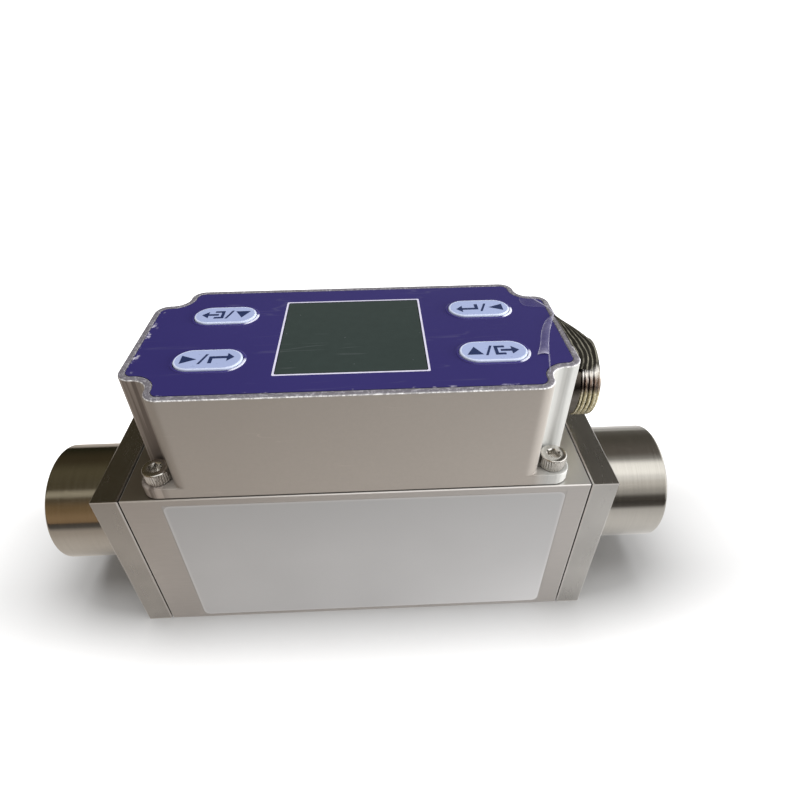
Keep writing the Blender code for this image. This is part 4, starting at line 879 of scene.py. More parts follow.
def connector_material(colour):
    """Plated thread: bright crests, grooves darkened by painted shade, and a dark collar behind them.

    By the angle about the axis the colours are painted reflections: the crests are dull brown below
    about half of their height over the axis, the grooves are pale high on the thread, and the crests
    are olive and mottled from the axis down.
    """
    material = metal("connector_nickel", colour, metallic=1.0, rough=(0.14, 0.24), scale=900.0, blotch=160.0,
                     contrast=0.12, tint=(0.74, 0.69, 0.60))
    tree, shader, base = reopen(material)
    x, y, z = object_axes(tree)
    rise = maths(tree, "SUBTRACT", z, CONNECTOR_Z)
    away = diagonal(tree, y, rise)
    level = maths(tree, "DIVIDE", rise, away)
    groove = ramp_value(tree, away, THREAD_RADIUS - 0.95 * THREAD_DEPTH, THREAD_RADIUS - 0.45 * THREAD_DEPTH)
    # low: from the axis down, where an olive painted reflection lies
    low = times(tree, ramp_value(tree, level, 0.30, 0.12),
                ramp_value(tree, away, THREAD_RADIUS - 1.1 * THREAD_DEPTH, THREAD_RADIUS - THREAD_DEPTH))
    speckle = grain_of(tree, 1600.0, 0.42, 0.62)
    olive = mix_colour(tree, speckle, (0.46, 0.41, 0.26), (0.84, 0.79, 0.60))
    dark_olive = mix_colour(tree, speckle, (0.08, 0.07, 0.035), (0.26, 0.23, 0.14))
    # Painted reflections by the angle about the axis, and painted shade in the grooves
    crest = mix_colour(tree, ramp_value(tree, level, 0.58, 0.46), base, (0.50, 0.42, 0.37))
    deep = mix_colour(tree, ramp_value(tree, level, 0.52, 0.6), (0.045, 0.038, 0.032), (0.52, 0.51, 0.50))
    base = mix_colour(tree, groove, mix_colour(tree, low, deep, dark_olive),
                      mix_colour(tree, low, crest, olive))
    collar = ramp_value(tree, x, COLLAR_END - 0.1 * MM, COLLAR_END + 0.05 * MM)
    fill(tree, shader, Base_Color=mix_colour(tree, collar, (0.10, 0.088, 0.075), base),
         Metallic=ramp_value(tree, low, 0.0, 1.0, 1.0, 0.35))
    return material


def label_material(colour, ground):
    """Satin label with a slightly paler border, and the block's colour outside its round corners.

    With the distance from the label's middle less half its size, plus the corner's radius, the
    distance to the outline is the length of the parts above zero, less the radius. The label has
    painted shade towards its upper edge and painted light at its lower right.
    """
    material = plastic("label_satin", colour, rough=(0.45, 0.55), scale=1500.0, contrast=0.015,
                       relief=0.002 * MM)
    tree, shader, base = reopen(material)
    x, _, z = object_axes(tree)
    middle = (LABEL_LOW + LABEL_HIGH) / 2
    # Painted light at the lower right and painted shade towards the upper edge
    lower_right = times(tree, ramp_value(tree, x, middle.x, LABEL_HIGH.x),
                        ramp_value(tree, z, middle.z, LABEL_LOW.z))
    base = mix_colour(tree, ramp_value(tree, z, middle.z, LABEL_HIGH.z), base, scaled(colour, 0.84))
    base = mix_colour(tree, lower_right, base, scaled(colour, 1.25))
    past = []
    for place, low, high in ((x, LABEL_LOW.x, LABEL_HIGH.x), (z, LABEL_LOW.z, LABEL_HIGH.z)):
        away = maths(tree, "ABSOLUTE", maths(tree, "SUBTRACT", place, (low + high) / 2))
        beyond = maths(tree, "SUBTRACT", away, (high - low) / 2 - LABEL_CORNER)
        past.append(maths(tree, "MAXIMUM", beyond, 0.0))
    reach = diagonal(tree, *past)
    border = ramp_value(tree, reach, LABEL_CORNER - 0.7 * MM, LABEL_CORNER - 0.1 * MM, 0.0, 0.3)
    base = mix_colour(tree, border, base, (0.70, 0.69, 0.69))
    outside = ramp_value(tree, reach, LABEL_CORNER - 0.12 * MM, LABEL_CORNER)
    fill(tree, shader, Base_Color=mix_colour(tree, outside, base, ground))
    return material


@cache
def make_finishes():
    """Every finish of the object, by name, made once for the scene."""
    tone = colours()
    return {
        "housing": housing_material(tone.housing),
        "block": block_material(tone.block),
        "fitting": fitting_material(tone.steel, tone.plate),
        "screw": metal("screw_bright", (0.58, 0.56, 0.53), metallic=1.0, rough=(0.16, 0.28), contrast=0.2,
                       blotch=300.0),
        "panel": panel_material(tone.panel),
        # The ridge's pale rim colour is a painted highlight, placed by its edge attribute
        "ridge": edge_material("ridge_violet", scaled(tone.panel, 1.25), (0.80, 0.82, 0.92), rough=0.12,
                               low=0.3),
        # The key's paler rim, on the cap's side and shoulder, is a painted highlight that also lightens the
        # shade of the gap round the key
        "key": edge_material("key_pale", tone.key, (0.62, 0.68, 0.84), low=0.86, high=0.97),
        "ink": plastic("symbol_ink", tone.ink, rough=(0.35, 0.45)),
        "white_line": plastic("white_print", (0.66, 0.64, 0.78), rough=(0.3, 0.4)),
        "display": plastic("display_dark", tone.display, rough=(0.14, 0.2), scale=500.0, contrast=0.04,
                           relief=0.0, shine=0.3, specks=0.045, dust=0.22),
        "clear": clear_film_material("clear_film_thin"),
        "streaked": streaked_film_material("clear_film_bent"),
        "label": label_material(tone.label, scaled(tone.block, 0.85)),
        "connector": connector_material(tone.nickel),
        "insulator": plastic("black_moulding", (0.02, 0.02, 0.022)),
        "gold": metal("contact_gold", (0.80, 0.58, 0.22), metallic=1.0, rough=(0.16, 0.24)),
        "rubber": plastic("black_rubber", (0.018, 0.018, 0.018), rough=(0.65, 0.8)),
        "board": plastic("board_mask", (0.02, 0.13, 0.05), rough=(0.3, 0.45)),
        "copper": metal("winding_copper", (0.62, 0.24, 0.09), metallic=1.0, rough=(0.25, 0.35),
                        stretch=(0.2, 0.2, 3.0), scale=1500.0, contrast=0.3),
        "valve": metal("valve_turned", (0.50, 0.49, 0.47), metallic=1.0, rough=(0.22, 0.34)),
    }


# Pieces

def housing_rows(steps):
    """Rows of the housing from the flange's outer foot, up and over the rim, and down inside.

    Below the flange's top each point lies on the flange's outline. There it moves towards the scooped
    outline above it, a quarter circle at first, and then climbs the wall with a small fillet.
    """
    flange = flange_outline(steps)
    wall = scooped_outline(0.0, steps)
    distance = np.linalg.norm(wall - flange, axis=1, keepdims=True)
    towards = (wall - flange) / np.maximum(distance, 1e-9)
    base, top = HOUSING_LOW.z, HOUSING_HIGH.z
    ledge = base + FLANGE_THICKNESS
    rows = [(flange, base), (flange, base + SUPPORT), (flange, ledge - 2 * FLANGE_EDGE)]
    rows += [(flange + towards * np.minimum(inset, distance / 3), ledge - drop)
             for inset, drop in quarter_arc(FLANGE_EDGE, 5)]
    rows += [(flange + towards * np.minimum(2 * FLANGE_EDGE, distance / 2), ledge),
             (wall - towards * np.minimum(2 * ROOT_FILLET, distance / 3), ledge)]
    rows += [(wall - towards * np.minimum(gap, distance / 4), ledge + rise)
             for rise, gap in quarter_arc(ROOT_FILLET, 5)]
    rows += [(wall, ledge + ROOT_FILLET + SUPPORT), (wall, top - ROOF_EDGE - SUPPORT)]
    rows += [(scooped_outline(inset, steps), top - drop) for inset, drop in quarter_arc(ROOF_EDGE, 7)]
    floor, ceiling = top - PANEL_RECESS, top - ROOF_THICKNESS
    inner = ((PANEL_RIM - RIM_CHAMFER[0], top), (PANEL_RIM, top - RIM_CHAMFER[1]), (PANEL_RIM, floor),
             (FLOOR_INSET, floor), (FLOOR_INSET, ceiling), (HOUSING_WALL, ceiling), (HOUSING_WALL, base))
    rows += [(scooped_outline(inset, steps), height) for inset, height in inner]
    return [at_height(*row) for row in rows]


def build_housing():
    """The scooped housing with its flange and rim."""
    chunk = loft(housing_rows(sizes().arc_steps), ring=True)
    make_piece("housing_shell", [chunk], "housing", ("electronics_housing",))


def ridge_glint(rows, steps):
    """Where the ridge round a key gets a painted highlight, from 0 to 1.

    It is the cosine of 1.9 times the angle from the right half circle's lower part, kept above zero, on
    the rows in the middle of the ridge, and three quarters on the ridge's inner foot, which is painted
    light over the shade of the gap round the key.
    """
    angle = np.linspace(-np.pi / 2, np.pi / 2, 2 * steps + 1)
    spot = np.clip(1.3 * np.cos(1.9 * (angle + 0.55)), 0, 1) * (np.abs(angle + 0.55) < 0.83)
    around = np.concatenate([spot, np.zeros_like(spot)])
    along = np.linspace(0, 1, rows)
    band = np.clip(1.6 * np.sin(np.pi * along), 0, 1) * (along > 0.25) * (along < 0.8)
    foot = np.where(along < 0.2, 0.75, 0.0)
    return np.maximum(band[:, None] * around[None, :], foot[:, None]).ravel()


def window_outline(grow, radius):
    """The window's outline, wider all round by grow."""
    return rectangle(LENS_HIGH.x - LENS_LOW.x + 2 * grow, LENS_HIGH.y - LENS_LOW.y + 2 * grow, radius,
                     WINDOW_CORNER_STEPS)


def build_panel():
    """The violet film, the ridge that is pressed up round each key, and the white line.

    The ridge rises with the sine of a half turn, steeper on its inner side, while it moves outwards.
    """
    steps = sizes().arc_steps
    height, width = sizes().emboss_height, sizes().emboss_width
    top = FILM_HIGH.z
    window = window_outline(FILM_GAP, WINDOW_CORNER)
    centres = [(KEY_X * sx, KEY_Y * sy) for sx, sy in SIGNS]
    holes = [window] + [stadium(FILM_GAP, steps, centre) for centre in centres]
    outline = scooped_outline(PANEL_RIM + FILM_GAP, steps)
    make_piece("panel_sheet", slab(outline, FILM_LOW.z, top, holes), "panel", ("panel_film",))
    start = FILM_GAP - RIDGE_LAP
    profile = [(start, top - RIDGE_FOOT)]
    for turn in np.linspace(0, np.pi, 13):
        rise = np.sin(turn) ** (0.7 if turn < np.pi / 2 else 1.0)
        profile.append((start + width * (0.5 * (1 - np.cos(turn))) ** 1.4, top + height * rise))
    profile.append((FILM_GAP + width, top - RIDGE_FOOT))
    for sign, centre in zip(SIGNS, centres):
        rows = [at_height(stadium(grow, steps, centre), level) for grow, level in profile]
        make_piece("key_ridge_" + SIDES[sign], [loft(rows, ring=True)], "ridge",
                   edge=ridge_glint(len(rows), steps), angle=60.0)
    line = slab(window_outline(WINDOW_LINE + FILM_GAP, LINE_CORNER), top, top + PRINT_THICKNESS, [window])
    make_piece("window_line", line, "white_line")


def key_rows(centre, low, high, steps):
    """Rows of a key: its stem, the flat foot of its cap, the cap's side, a round shoulder and a crown.

    The second array holds how near each point is to the cap's edge, from 0 to 1.
    """
    top = high - PRINT_DROP
    outline = stadium(0.0, steps)
    angle = np.arctan2(outline[:, 1], outline[:, 0])
    stem = KEY_STEM_RADIUS * np.stack([np.cos(angle), np.sin(angle)], axis=1)
    rows = [(stem * 0.001, low, 0.0), (stem, low, 0.0), (stem, FILM_LOW.z, 0.0), (outline, FILM_LOW.z, 1.0),
            (outline, top - KEY_SHOULDER - 0.05 * MM, 1.0)]
    rows += [(stadium(-inset, steps), top - drop, 1.0) for inset, drop in quarter_arc(KEY_SHOULDER, 7)]
    rows += [(stadium(-inset, steps), top, near) for inset, near in KEY_CROWN]
    points = np.array([at_height(row, height) for row, height, _ in rows])
    points[:, :, :2] += centre
    return points, np.repeat([near for _, _, near in rows], len(outline))


def crown_strip(rows):
    """Faces across the last row of a grid, which join its two halves."""
    count = rows.shape[1]
    start = (len(rows) - 1) * count
    return [[start + k, start + k + 1, start + count - 2 - k, start + count - 1 - k]
            for k in range(count // 2 - 1)]


def build_keys():
    """The four keys and the printed symbols on them. The front pair reads from the back."""
    for sx, sy in SIGNS:
        side = SIDES[sx, sy]
        node = "key_" + side
        low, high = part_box(node)
        centre = np.array([(low.x + high.x) / 2, (low.y + high.y) / 2])
        rows, edge = key_rows(centre, low.z, high.z, sizes().arc_steps)
        points, faces = loft(rows)
        make_piece("key_cap_" + side, [(points, faces + crown_strip(rows))], "key", (node,), node,
                   angle=50.0, edge=edge)
        print_low = high.z - PRINT_DROP
        chunks = []
        for mark, shift in LEAVE_SYMBOLS if sx * sy < 0 else RETURN_SYMBOLS:
            outline = (np.array(mark) + (shift, 0)) * MM * (-1 if sy < 0 else 1) + centre
            chunks += slab(outline, print_low - 0.01 * MM, print_low + PRINT_THICKNESS)
        make_piece("key_symbols_" + side, chunks, "ink", body=node)


def plate_screw_places():
    """Centres of the plate screws from the flow axis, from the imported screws, as (across, up)."""
    boxes = [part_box(f"outlet_fitting_screw_{number}") for number in range(1, 5)]
    return [((low.y + high.y) / 2, (low.z + high.z) / 2 - FLOW_Z) for low, high in boxes]


def build_fitting(name, side):
    """A square plate, its turned stub and its threaded port, worked out along the stub's own axis."""
    count = sizes().turned_steps
    end, face, half = FITTING_HIGH.x - PLATE_FACE, PLATE_THICKNESS, BODY_HIGH.y
    places = [(-up, side * across) for across, up in plate_screw_places()]
    shank, bore = M4_RADIUS + HOLE_GAP, M4_HEAD_RADIUS + HOLE_GAP
    sunk = face - M4_HEAD_HEIGHT - HEAD_DROP

    def square(inset):
        """The plate's outline, smaller all round by an inset."""
        return circle((half - inset) * math.sqrt(2), 4, start=math.pi / 4)

    def holes(middle, radius):
        """The hole in the middle and the screws' holes."""
        return [circle(middle, count)] + [circle(radius, count // 3, place) for place in places]

    sides = ((PLATE_EDGE, 0.0), (0.0, PLATE_EDGE), (0.0, face - PLATE_EDGE), (PLATE_EDGE, face))
    chunks = [loft([at_height(square(inset), height) for inset, height in sides]),
              flat_face(square(PLATE_EDGE), 0.0, holes(CHANNEL_RADIUS, shank)),
              flat_face(square(PLATE_EDGE), face, holes(STUB_RADIUS + ROOT_FILLET, bore))]
    steps = ((bore, face), (bore, sunk), (shank, sunk), (shank, 0.0))
    chunks += [loft([at_height(circle(radius, count // 3, place), height) for radius, height in steps])
               for place in places]
    outer = [(STUB_RADIUS + gap, face + rise) for rise, gap in quarter_arc(ROOT_FILLET, 6)]
    outer += [(STUB_RADIUS, face + ROOT_FILLET + SUPPORT), (STUB_RADIUS, end - STUB_EDGE - SUPPORT)]
    outer += [(STUB_RADIUS - inset, end - drop) for inset, drop in quarter_arc(STUB_EDGE, 6)]
    mouth = PORT_RADIUS + PORT_LEAD_IN
    outer += [(mouth + SUPPORT, end), (mouth, end), (mouth - PORT_LEAD_IN / 2, end - PORT_LEAD_IN / 2)]
    stop = end - PORT_DEPTH
    thread = helix_thread(PORT_RADIUS, PORT_THREAD_DEPTH, PORT_PITCH, stop + PORT_RUN_OUT, end - PORT_LEAD_IN,
                          count, outward=False)
    inner = revolve([(PORT_RADIUS, stop), (CHANNEL_RADIUS, stop), (CHANNEL_RADIUS, 0.0)], count)
    chunks.append(loft(np.concatenate([revolve(outer, count), thread[::-1], inner])))
    matrix = along_x(side, (side * PLATE_FACE, 0.0, FLOW_Z))
    make_piece(name + "_turned", [turn_chunk(chunk, matrix) for chunk in chunks], "fitting",
               (name,))


def screw_chunk(head_radius, head_height, radius, length, flats, depth):
    """A socket cap screw about Z with its head above zero.

    Rows run from the socket's floor, out over the rim, down the knurled side and along the shank. The
    knurl takes its depth times half of one minus the cosine of the angle times the number of knurls.
    """
    knurls = sizes().knurls
    count = knurls * 6
    angle = 2 * np.pi * np.arange(count) / count
    hexes = hexagon(flats, angle)
    knurled = head_radius - 0.5 * (1 - np.cos(knurls * angle)) * sizes().knurl_depth
    shallow = 0.6 * head_radius + 0.4 * knurled
    floor = head_height - depth
    side = head_height - SCREW_RIM
    rows = [(0.001 * MM, floor - 0.35 * MM), (hexes * 0.55, floor - 0.05 * MM), (hexes, floor),
            (hexes, head_height - 0.25 * MM), (np.maximum(hexes, flats * 0.595), head_height - 0.02 * MM),
            (flats * 0.63, head_height)]
    rows += [(head_radius - gap, head_height - drop) for drop, gap in quarter_arc(SCREW_RIM, 5)]
    rows += [(shallow, side - 0.06 * MM), (knurled, side - 0.16 * MM), (knurled, 0.18 * MM),
             (head_radius - 0.1 * MM, 0.04 * MM), (head_radius - 0.2 * MM, 0.0), (radius + 0.12 * MM, 0.0),
             (radius, -0.12 * MM), (radius, 0.5 * MM - length), (radius - 0.45 * MM, -length),
             (0.001 * MM, -length)]
    return loft([about_z(radii, height, count) for radii, height in rows])


def build_screws():
    """The housing's cap screws and those sunk in the end plates."""
    for sx, sy in SIGNS:
        node = "housing_screw_" + SIDES[sx, sy]
        low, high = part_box(node)
        under = high.z - M3_HEAD_HEIGHT
        place = ((low.x + high.x) / 2, (low.y + high.y) / 2, under)
        turn = 0.35 + 0.8 * sx + 0.3 * sy
        matrix = Matrix.Translation(place) @ Matrix.Rotation(turn, 4, "Z")
        chunk = screw_chunk(M3_HEAD_RADIUS, M3_HEAD_HEIGHT, M3_RADIUS, under - low.z, *M3_SOCKET)
        make_piece("cap_screw_" + SIDES[sx, sy], [turn_chunk(chunk, matrix)], "screw", (node,),
                   angle=38.0)
    for name, side in FITTINGS:
        for number in range(1, 5):
            node = f"{name}_screw_{number}"
            low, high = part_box(node)
            under = (high.x if side > 0 else -low.x) - M4_HEAD_HEIGHT
            place = (side * under, (low.y + high.y) / 2, (low.z + high.z) / 2)
            matrix = along_x(side, place) @ Matrix.Rotation(0.4 * number, 4, "Z")
            length = high.x - low.x - M4_HEAD_HEIGHT
            chunk = screw_chunk(M4_HEAD_RADIUS, M4_HEAD_HEIGHT, M4_RADIUS, length, *M4_SOCKET)
            make_piece(f"{name}_cap_screw_{number}", [turn_chunk(chunk, matrix)], "screw",
                       (node,), angle=38.0)


def build_connector():
    """The connector's shell: barrel, collar, outside thread, round lip and smooth socket."""
    count = sizes().turned_steps
    front, back = SHELL_HIGH.x - HALF_LENGTH, SHELL_LOW.x - HALF_LENGTH
    step = COLLAR_START + COLLAR_LENGTH
    lip = front - LIP_RADIUS
    bottom = THREAD_RADIUS - THREAD_DEPTH
    waist = COLLAR_RADIUS - COLLAR_CHAMFER
    outer = [(SOCKET_RADIUS, back), (BARREL_RADIUS, back), (BARREL_RADIUS, COLLAR_START),
             (waist, COLLAR_START), (COLLAR_RADIUS, COLLAR_START + COLLAR_CHAMFER),
             (COLLAR_RADIUS, step - COLLAR_CHAMFER), (waist, step), (bottom, step),
             (bottom, step + 0.15 * MM)]
    thread = helix_thread(THREAD_RADIUS, THREAD_DEPTH, THREAD_PITCH, step + 0.2 * MM, lip, count)
    nose = [(THREAD_RADIUS - inset, front - drop) for inset, drop in quarter_arc(LIP_RADIUS, 5)]
    inner = [(SOCKET_RADIUS + MOUTH_CHAMFER, front), (SOCKET_RADIUS, front - MOUTH_CHAMFER),
             (SOCKET_RADIUS, back)]
    rows = np.concatenate([revolve(outer, count), thread, revolve(nose + inner, count)])
    chunk = turn_chunk(loft(rows, ring=True), along_x(1, (HALF_LENGTH, 0.0, CONNECTOR_Z)))
    make_piece("connector_threaded", [chunk], "connector", ("connector_shell",), angle=25.0)


def ribbon(left, right, rise, count=40, across=15):
    """A film between two paths: straight across, with an arch of half a sine in its middle.

    Each path is cut at equal lengths, and its bends are rounded by averaging neighbours. A point without
    a height of its own lies at the film's.
    """
    ends = []
    for path in (left, right):
        path = np.array([(*point, FILM_Z)[:3] for point in path]) * MM
        length = np.concatenate([[0.0], np.cumsum(np.linalg.norm(np.diff(path, axis=0), axis=1))])
        at = np.linspace(0, length[-1], count)
        line = np.column_stack([np.interp(at, length, path[:, k]) for k in range(3)])
        for _ in range(count // 2):
            line[1:-1] = (line[:-2] + line[1:-1] + line[2:]) / 3
        ends.append(line)
    t = np.linspace(0, 1, across)[None, :, None]
    points = ends[0][:, None] * (1 - t) + ends[1][:, None] * t
    points[:, :, 2] += rise * np.sin(np.pi * t[:, :, 0])
    return points, np.broadcast_to(t[:, :, 0], points.shape[:2])


def build_film():
    """The clear film at the outlet end: a flap, a rolled fold, two creases and a tongue over the end."""
    chunks = []
    edge = []
    for left, right, rise, faint, strong in LOOSE_FILM:
        points, across = ribbon(left, right, rise)
        chunks.append(loft(points, strip=True))
        along = np.abs(np.linspace(-1, 1, len(points)))[:, None]
        border = np.maximum(np.abs(2 * across - 1), along) ** 10
        # The edge value sets the film's opacity and its painted highlight, strongest at the border
        edge.append((faint + (strong - faint) * border).ravel())
    make_piece("clear_film_loose", chunks, "clear", ("protective_film",), angle=60.0,
               edge=np.concatenate(edge))
    points, across = ribbon(TONGUE_INNER, TONGUE_OUTER, TONGUE_RISE, *TONGUE_GRID)
    make_piece("clear_film_tongue", [loft(points, strip=True)], "streaked", angle=60.0,
               edge=across.ravel())


def build_spring():
    """The valve's wire spring, on a mesh of its own; the real spring shortens towards the core as the
    valve lifts.

    The wire's middle lies on a circle at an angle that grows with its height, and each ring of the wire
    lies at the wire's radius from it, along the circle's radius and upwards.
    """
    low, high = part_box("valve_spring")
    middle = (low + high) / 2
    around = np.linspace(0, 1, SPRING_TURNS * TURN_ROWS + 1)
    around = np.concatenate([around[:1], around, around[-1:]])[:, None]
    wire = np.full_like(around, SPRING_WIRE)
    wire[0] = wire[-1] = 0.0
    turn = 2 * np.pi * SPRING_TURNS * around
    ring = 2 * np.pi * np.arange(WIRE_POINTS)[None, :] / WIRE_POINTS
    reach = (high.x - low.x) / 2 - SPRING_WIRE + wire * np.cos(ring)
    height = low.z + SPRING_WIRE + (high.z - low.z - 2 * SPRING_WIRE) * around + wire * np.sin(ring)
    rows = np.stack([middle.x + reach * np.cos(turn), middle.y + reach * np.sin(turn), height], axis=2)
    piece = make_piece("valve_coil_spring", [loft(rows)], "valve", ("valve_spring",),
                       angle=60.0)
    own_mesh(piece)


def build_label():
    """The blank label: a flat rounded sheet in its shallow bed on the front."""
    length, height = LABEL_HIGH.x - LABEL_LOW.x, LABEL_HIGH.z - LABEL_LOW.z
    centre = ((LABEL_LOW.x + LABEL_HIGH.x) / 2, (LABEL_LOW.z + LABEL_HIGH.z) / 2)
    outline = rectangle(length + 2 * LABEL_SPREAD, height + 2 * LABEL_SPREAD, LABEL_SPREAD, 2, centre)
    upright = Matrix.Rotation(math.pi / 2, 4, "X")
    chunks = [turn_chunk(chunk, upright) for chunk in slab(outline, -LABEL_HIGH.y, -LABEL_LOW.y)]
    make_piece("label_sheet", chunks, "label", ("front_label",))


NODE_FINISHES = {
    "block": ("channel_body",),
    "display": ("display_lens", "display_module"),
    "screw": ("coil_nut", "connector_nut", *("board_screw_" + side for side in SIDES.values())),
    "insulator": ("coil_bobbin", "connector_insert", "flow_straightener", "processor_chip", "lead_loom",
                  *("switch_" + side for side in SIDES.values())),
    "rubber": ("inlet_seal", "outlet_seal", "sensor_seal", "housing_gasket", "valve_disc"),
    "board": ("display_board", "sensor_blade"),
    "copper": ("coil_winding",),
    "valve": ("sensor_plug", "valve_seat", "valve_plunger", "valve_core", "inlet_screen"),
    "gold": tuple(f"connector_pin_{number}" for number in range(1, 5)),
}


def finish_packed_nodes():
    """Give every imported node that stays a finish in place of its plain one."""
    for name, nodes in NODE_FINISHES.items():
        for node in nodes:
            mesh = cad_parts[node].data
            mesh.materials.clear()
            mesh.materials.append(make_finishes()[name])


# Stage

FLOOR_SIZE = 12.0
FLOOR_DROP = 0.02 * MM
FLOOR_LEFT = (0.60, 0.54, 0.48)
FLOOR_RIGHT = (0.95, 0.94, 0.93)
FLOOR_SEEN = (0.66, 0.66, 0.66)
FLOOR_MIRRORED = (0.14, 0.13, 0.12)
# The floor's glow to the camera, rising away from a core over a reach, paints a soft shadow round the object
GLOW_CORE = (50.0 * MM, 10.0 * MM)
GLOW_REACH = (92.0 * MM, 34.0 * MM)
FLOOR_KICK = 0.22
AMBIENT_LEFT = (0.15, 0.135, 0.12)
AMBIENT_RIGHT = (0.66, 0.66, 0.66)
STUDIO_RIGHT = (
    (0, (0.10, 0.09, 0.08)), (178, (0.8, 0.8, 0.78)), (9, (0.11, 0.10, 0.09)), (20, (0.62, 0.60, 0.57)),
    (39, (1.1, 1.07, 1.02)), (50, (1.5, 1.5, 1.47)), (60, (2.1, 2.1, 2.06)), (76, (2.0, 2.0, 1.96)),
    (90, (0.42, 0.41, 0.39)), (100, (0.20, 0.18, 0.16)), (143, (0.14, 0.13, 0.11)), (168, (0.2, 0.19, 0.17)))
STUDIO_LEFT = (
    (0, (0.38, 0.25, 0.14)), (180, (0.02, 0.02, 0.01)), (10, (0.40, 0.27, 0.15)), (29, (0.27, 0.18, 0.09)),
    (48, (0.13, 0.10, 0.06)), (56, (0.55, 0.50, 0.38)), (61, (0.5, 0.45, 0.34)), (68, (0.11, 0.09, 0.05)),
    (102, (0.14, 0.12, 0.07)), (134, (0.07, 0.055, 0.03)))
STUDIO_WINDOW = (2.0, 2.0, 1.98)

# Where the studio, its window and the soft light change along the direction's x
STUDIO_CHANGE = (-0.4, -0.1)
WINDOW_CHANGE = (0.52, 0.75)
SOFT_CHANGE = (-0.8, 0.8)

# Where the floor's bounce, mirror image, glow and kick change, in metres, and the glow in reaches
BOUNCE_CHANGE = (-0.07, 0.07)
MIRROR_CHANGE = (-0.16, -0.09)
GLOW_CHANGE = (0.3, 1.15)
KICK_FRONT = (-0.075, -0.025)
KICK_END = (0.1, 0.16)

WHITE = (1.0, 1.0, 1.0)
LAMP_TARGET = (0.0, 0.0, 0.03)
TOP_LAMP = {"place": (-0.04, 0.1, 0.75), "size": 0.6, "power": 4.2}
SIDE_LAMP = {"place": (0.5, -0.12, 0.1), "size": 0.26, "power": 4.5}
CAMERA_PLACE = (4.763 * MM, -100.906 * MM, 128.535 * MM)
CAMERA_PITCH = 0.6821
CAMERA_YAW = 0.0340
CAMERA_ROLL = -0.0123
FOCAL_PIXELS = 545.41
PICTURE_PIXELS = 800.0
PRINCIPAL_POINT = (392.17, 416.58)
SENSOR_WIDTH = 36.0
CLIP_START = 5.0 * MM


def put_in_scene(name, data):
    """A new object of the stage, linked to the scene."""
    item = bpy.data.objects.new(name, data)
    bpy.context.scene.collection.objects.link(item)
    return item


def build_camera():
    """The camera at the photograph's viewing angle, from its place, turns and focal length."""
    pitch, yaw, roll = CAMERA_PITCH, CAMERA_YAW, CAMERA_ROLL
    ahead = Vector((math.sin(yaw) * math.cos(pitch), math.cos(yaw) * math.cos(pitch), -math.sin(pitch)))
    level = Vector((math.cos(yaw), -math.sin(yaw), 0.0))
    above = level.cross(ahead)
    right = level * math.cos(roll) + above * math.sin(roll)
    up = above * math.cos(roll) - level * math.sin(roll)
    data = bpy.data.cameras.new("photo_camera")
    camera = put_in_scene("photo_camera", data)
    turn = Matrix((right, up, -ahead)).transposed().to_4x4()
    camera.matrix_world = Matrix.Translation(CAMERA_PLACE) @ turn
    data.sensor_width = SENSOR_WIDTH
    data.lens = FOCAL_PIXELS / PICTURE_PIXELS * SENSOR_WIDTH
    data.shift_x = (PICTURE_PIXELS / 2 - PRINCIPAL_POINT[0]) / PICTURE_PIXELS
    data.shift_y = (PRINCIPAL_POINT[1] - PICTURE_PIXELS / 2) / PICTURE_PIXELS
    data.clip_start = CLIP_START
    bpy.context.scene.camera = camera


def studio_ramp(tree, angle, stops):
    """Colours of the studio by the angle over the object, from the front horizon to the back.

    The first two stops are the ramp's own ends.
    """
    node = add_node(tree, "ShaderNodeValToRGB", Fac=angle)
    ramp = node.color_ramp
    ramp.interpolation = "EASE"
    for index, (degrees, colour) in enumerate(stops):
        stop = ramp.elements[index] if index < 2 else ramp.elements.new(degrees / 180)
        stop.position = degrees / 180
        stop.color = (*colour, 1.0)
    return node.outputs["Color"]


def build_world():
    """White to the eye, an even soft light, and a studio with pale and dark walls in reflections.

    The studio's colour depends on the angle over the object and, from left to right, on the
    direction's x: brown and dark on the left, a pale window on the far right.
    """
    world = bpy.data.worlds.new("studio")
    bpy.context.scene.world = world
    world.use_nodes = True
    world.cycles.sampling_method = "NONE"
    tree = world.node_tree
    tree.nodes.clear()
    path = add_node(tree, "ShaderNodeLightPath").outputs
    place = add_node(tree, "ShaderNodeTexCoord").outputs["Generated"]
    x, y, z = add_node(tree, "ShaderNodeSeparateXYZ", Vector=place).outputs
    angle = maths(tree, "DIVIDE", maths(tree, "ARCTAN2", z, times(tree, y, -1.0)), math.pi)
    left, right = (studio_ramp(tree, angle, stops) for stops in (STUDIO_LEFT, STUDIO_RIGHT))
    studio = mix_colour(tree, ramp_value(tree, x, *STUDIO_CHANGE), left, right)
    studio = mix_colour(tree, ramp_value(tree, x, *WINDOW_CHANGE), studio, STUDIO_WINDOW)
    soft = mix_colour(tree, ramp_value(tree, x, *SOFT_CHANGE), AMBIENT_LEFT, AMBIENT_RIGHT)
    light = mix_colour(tree, path["Is Glossy Ray"], soft, studio)
    seen = maths(tree, "MAXIMUM", path["Is Camera Ray"], path["Is Transmission Ray"])
    back = add_node(tree, "ShaderNodeBackground", Color=mix_colour(tree, seen, light, WHITE), Strength=1.0)
    add_node(tree, "ShaderNodeOutputWorld", Surface=back.outputs[0])


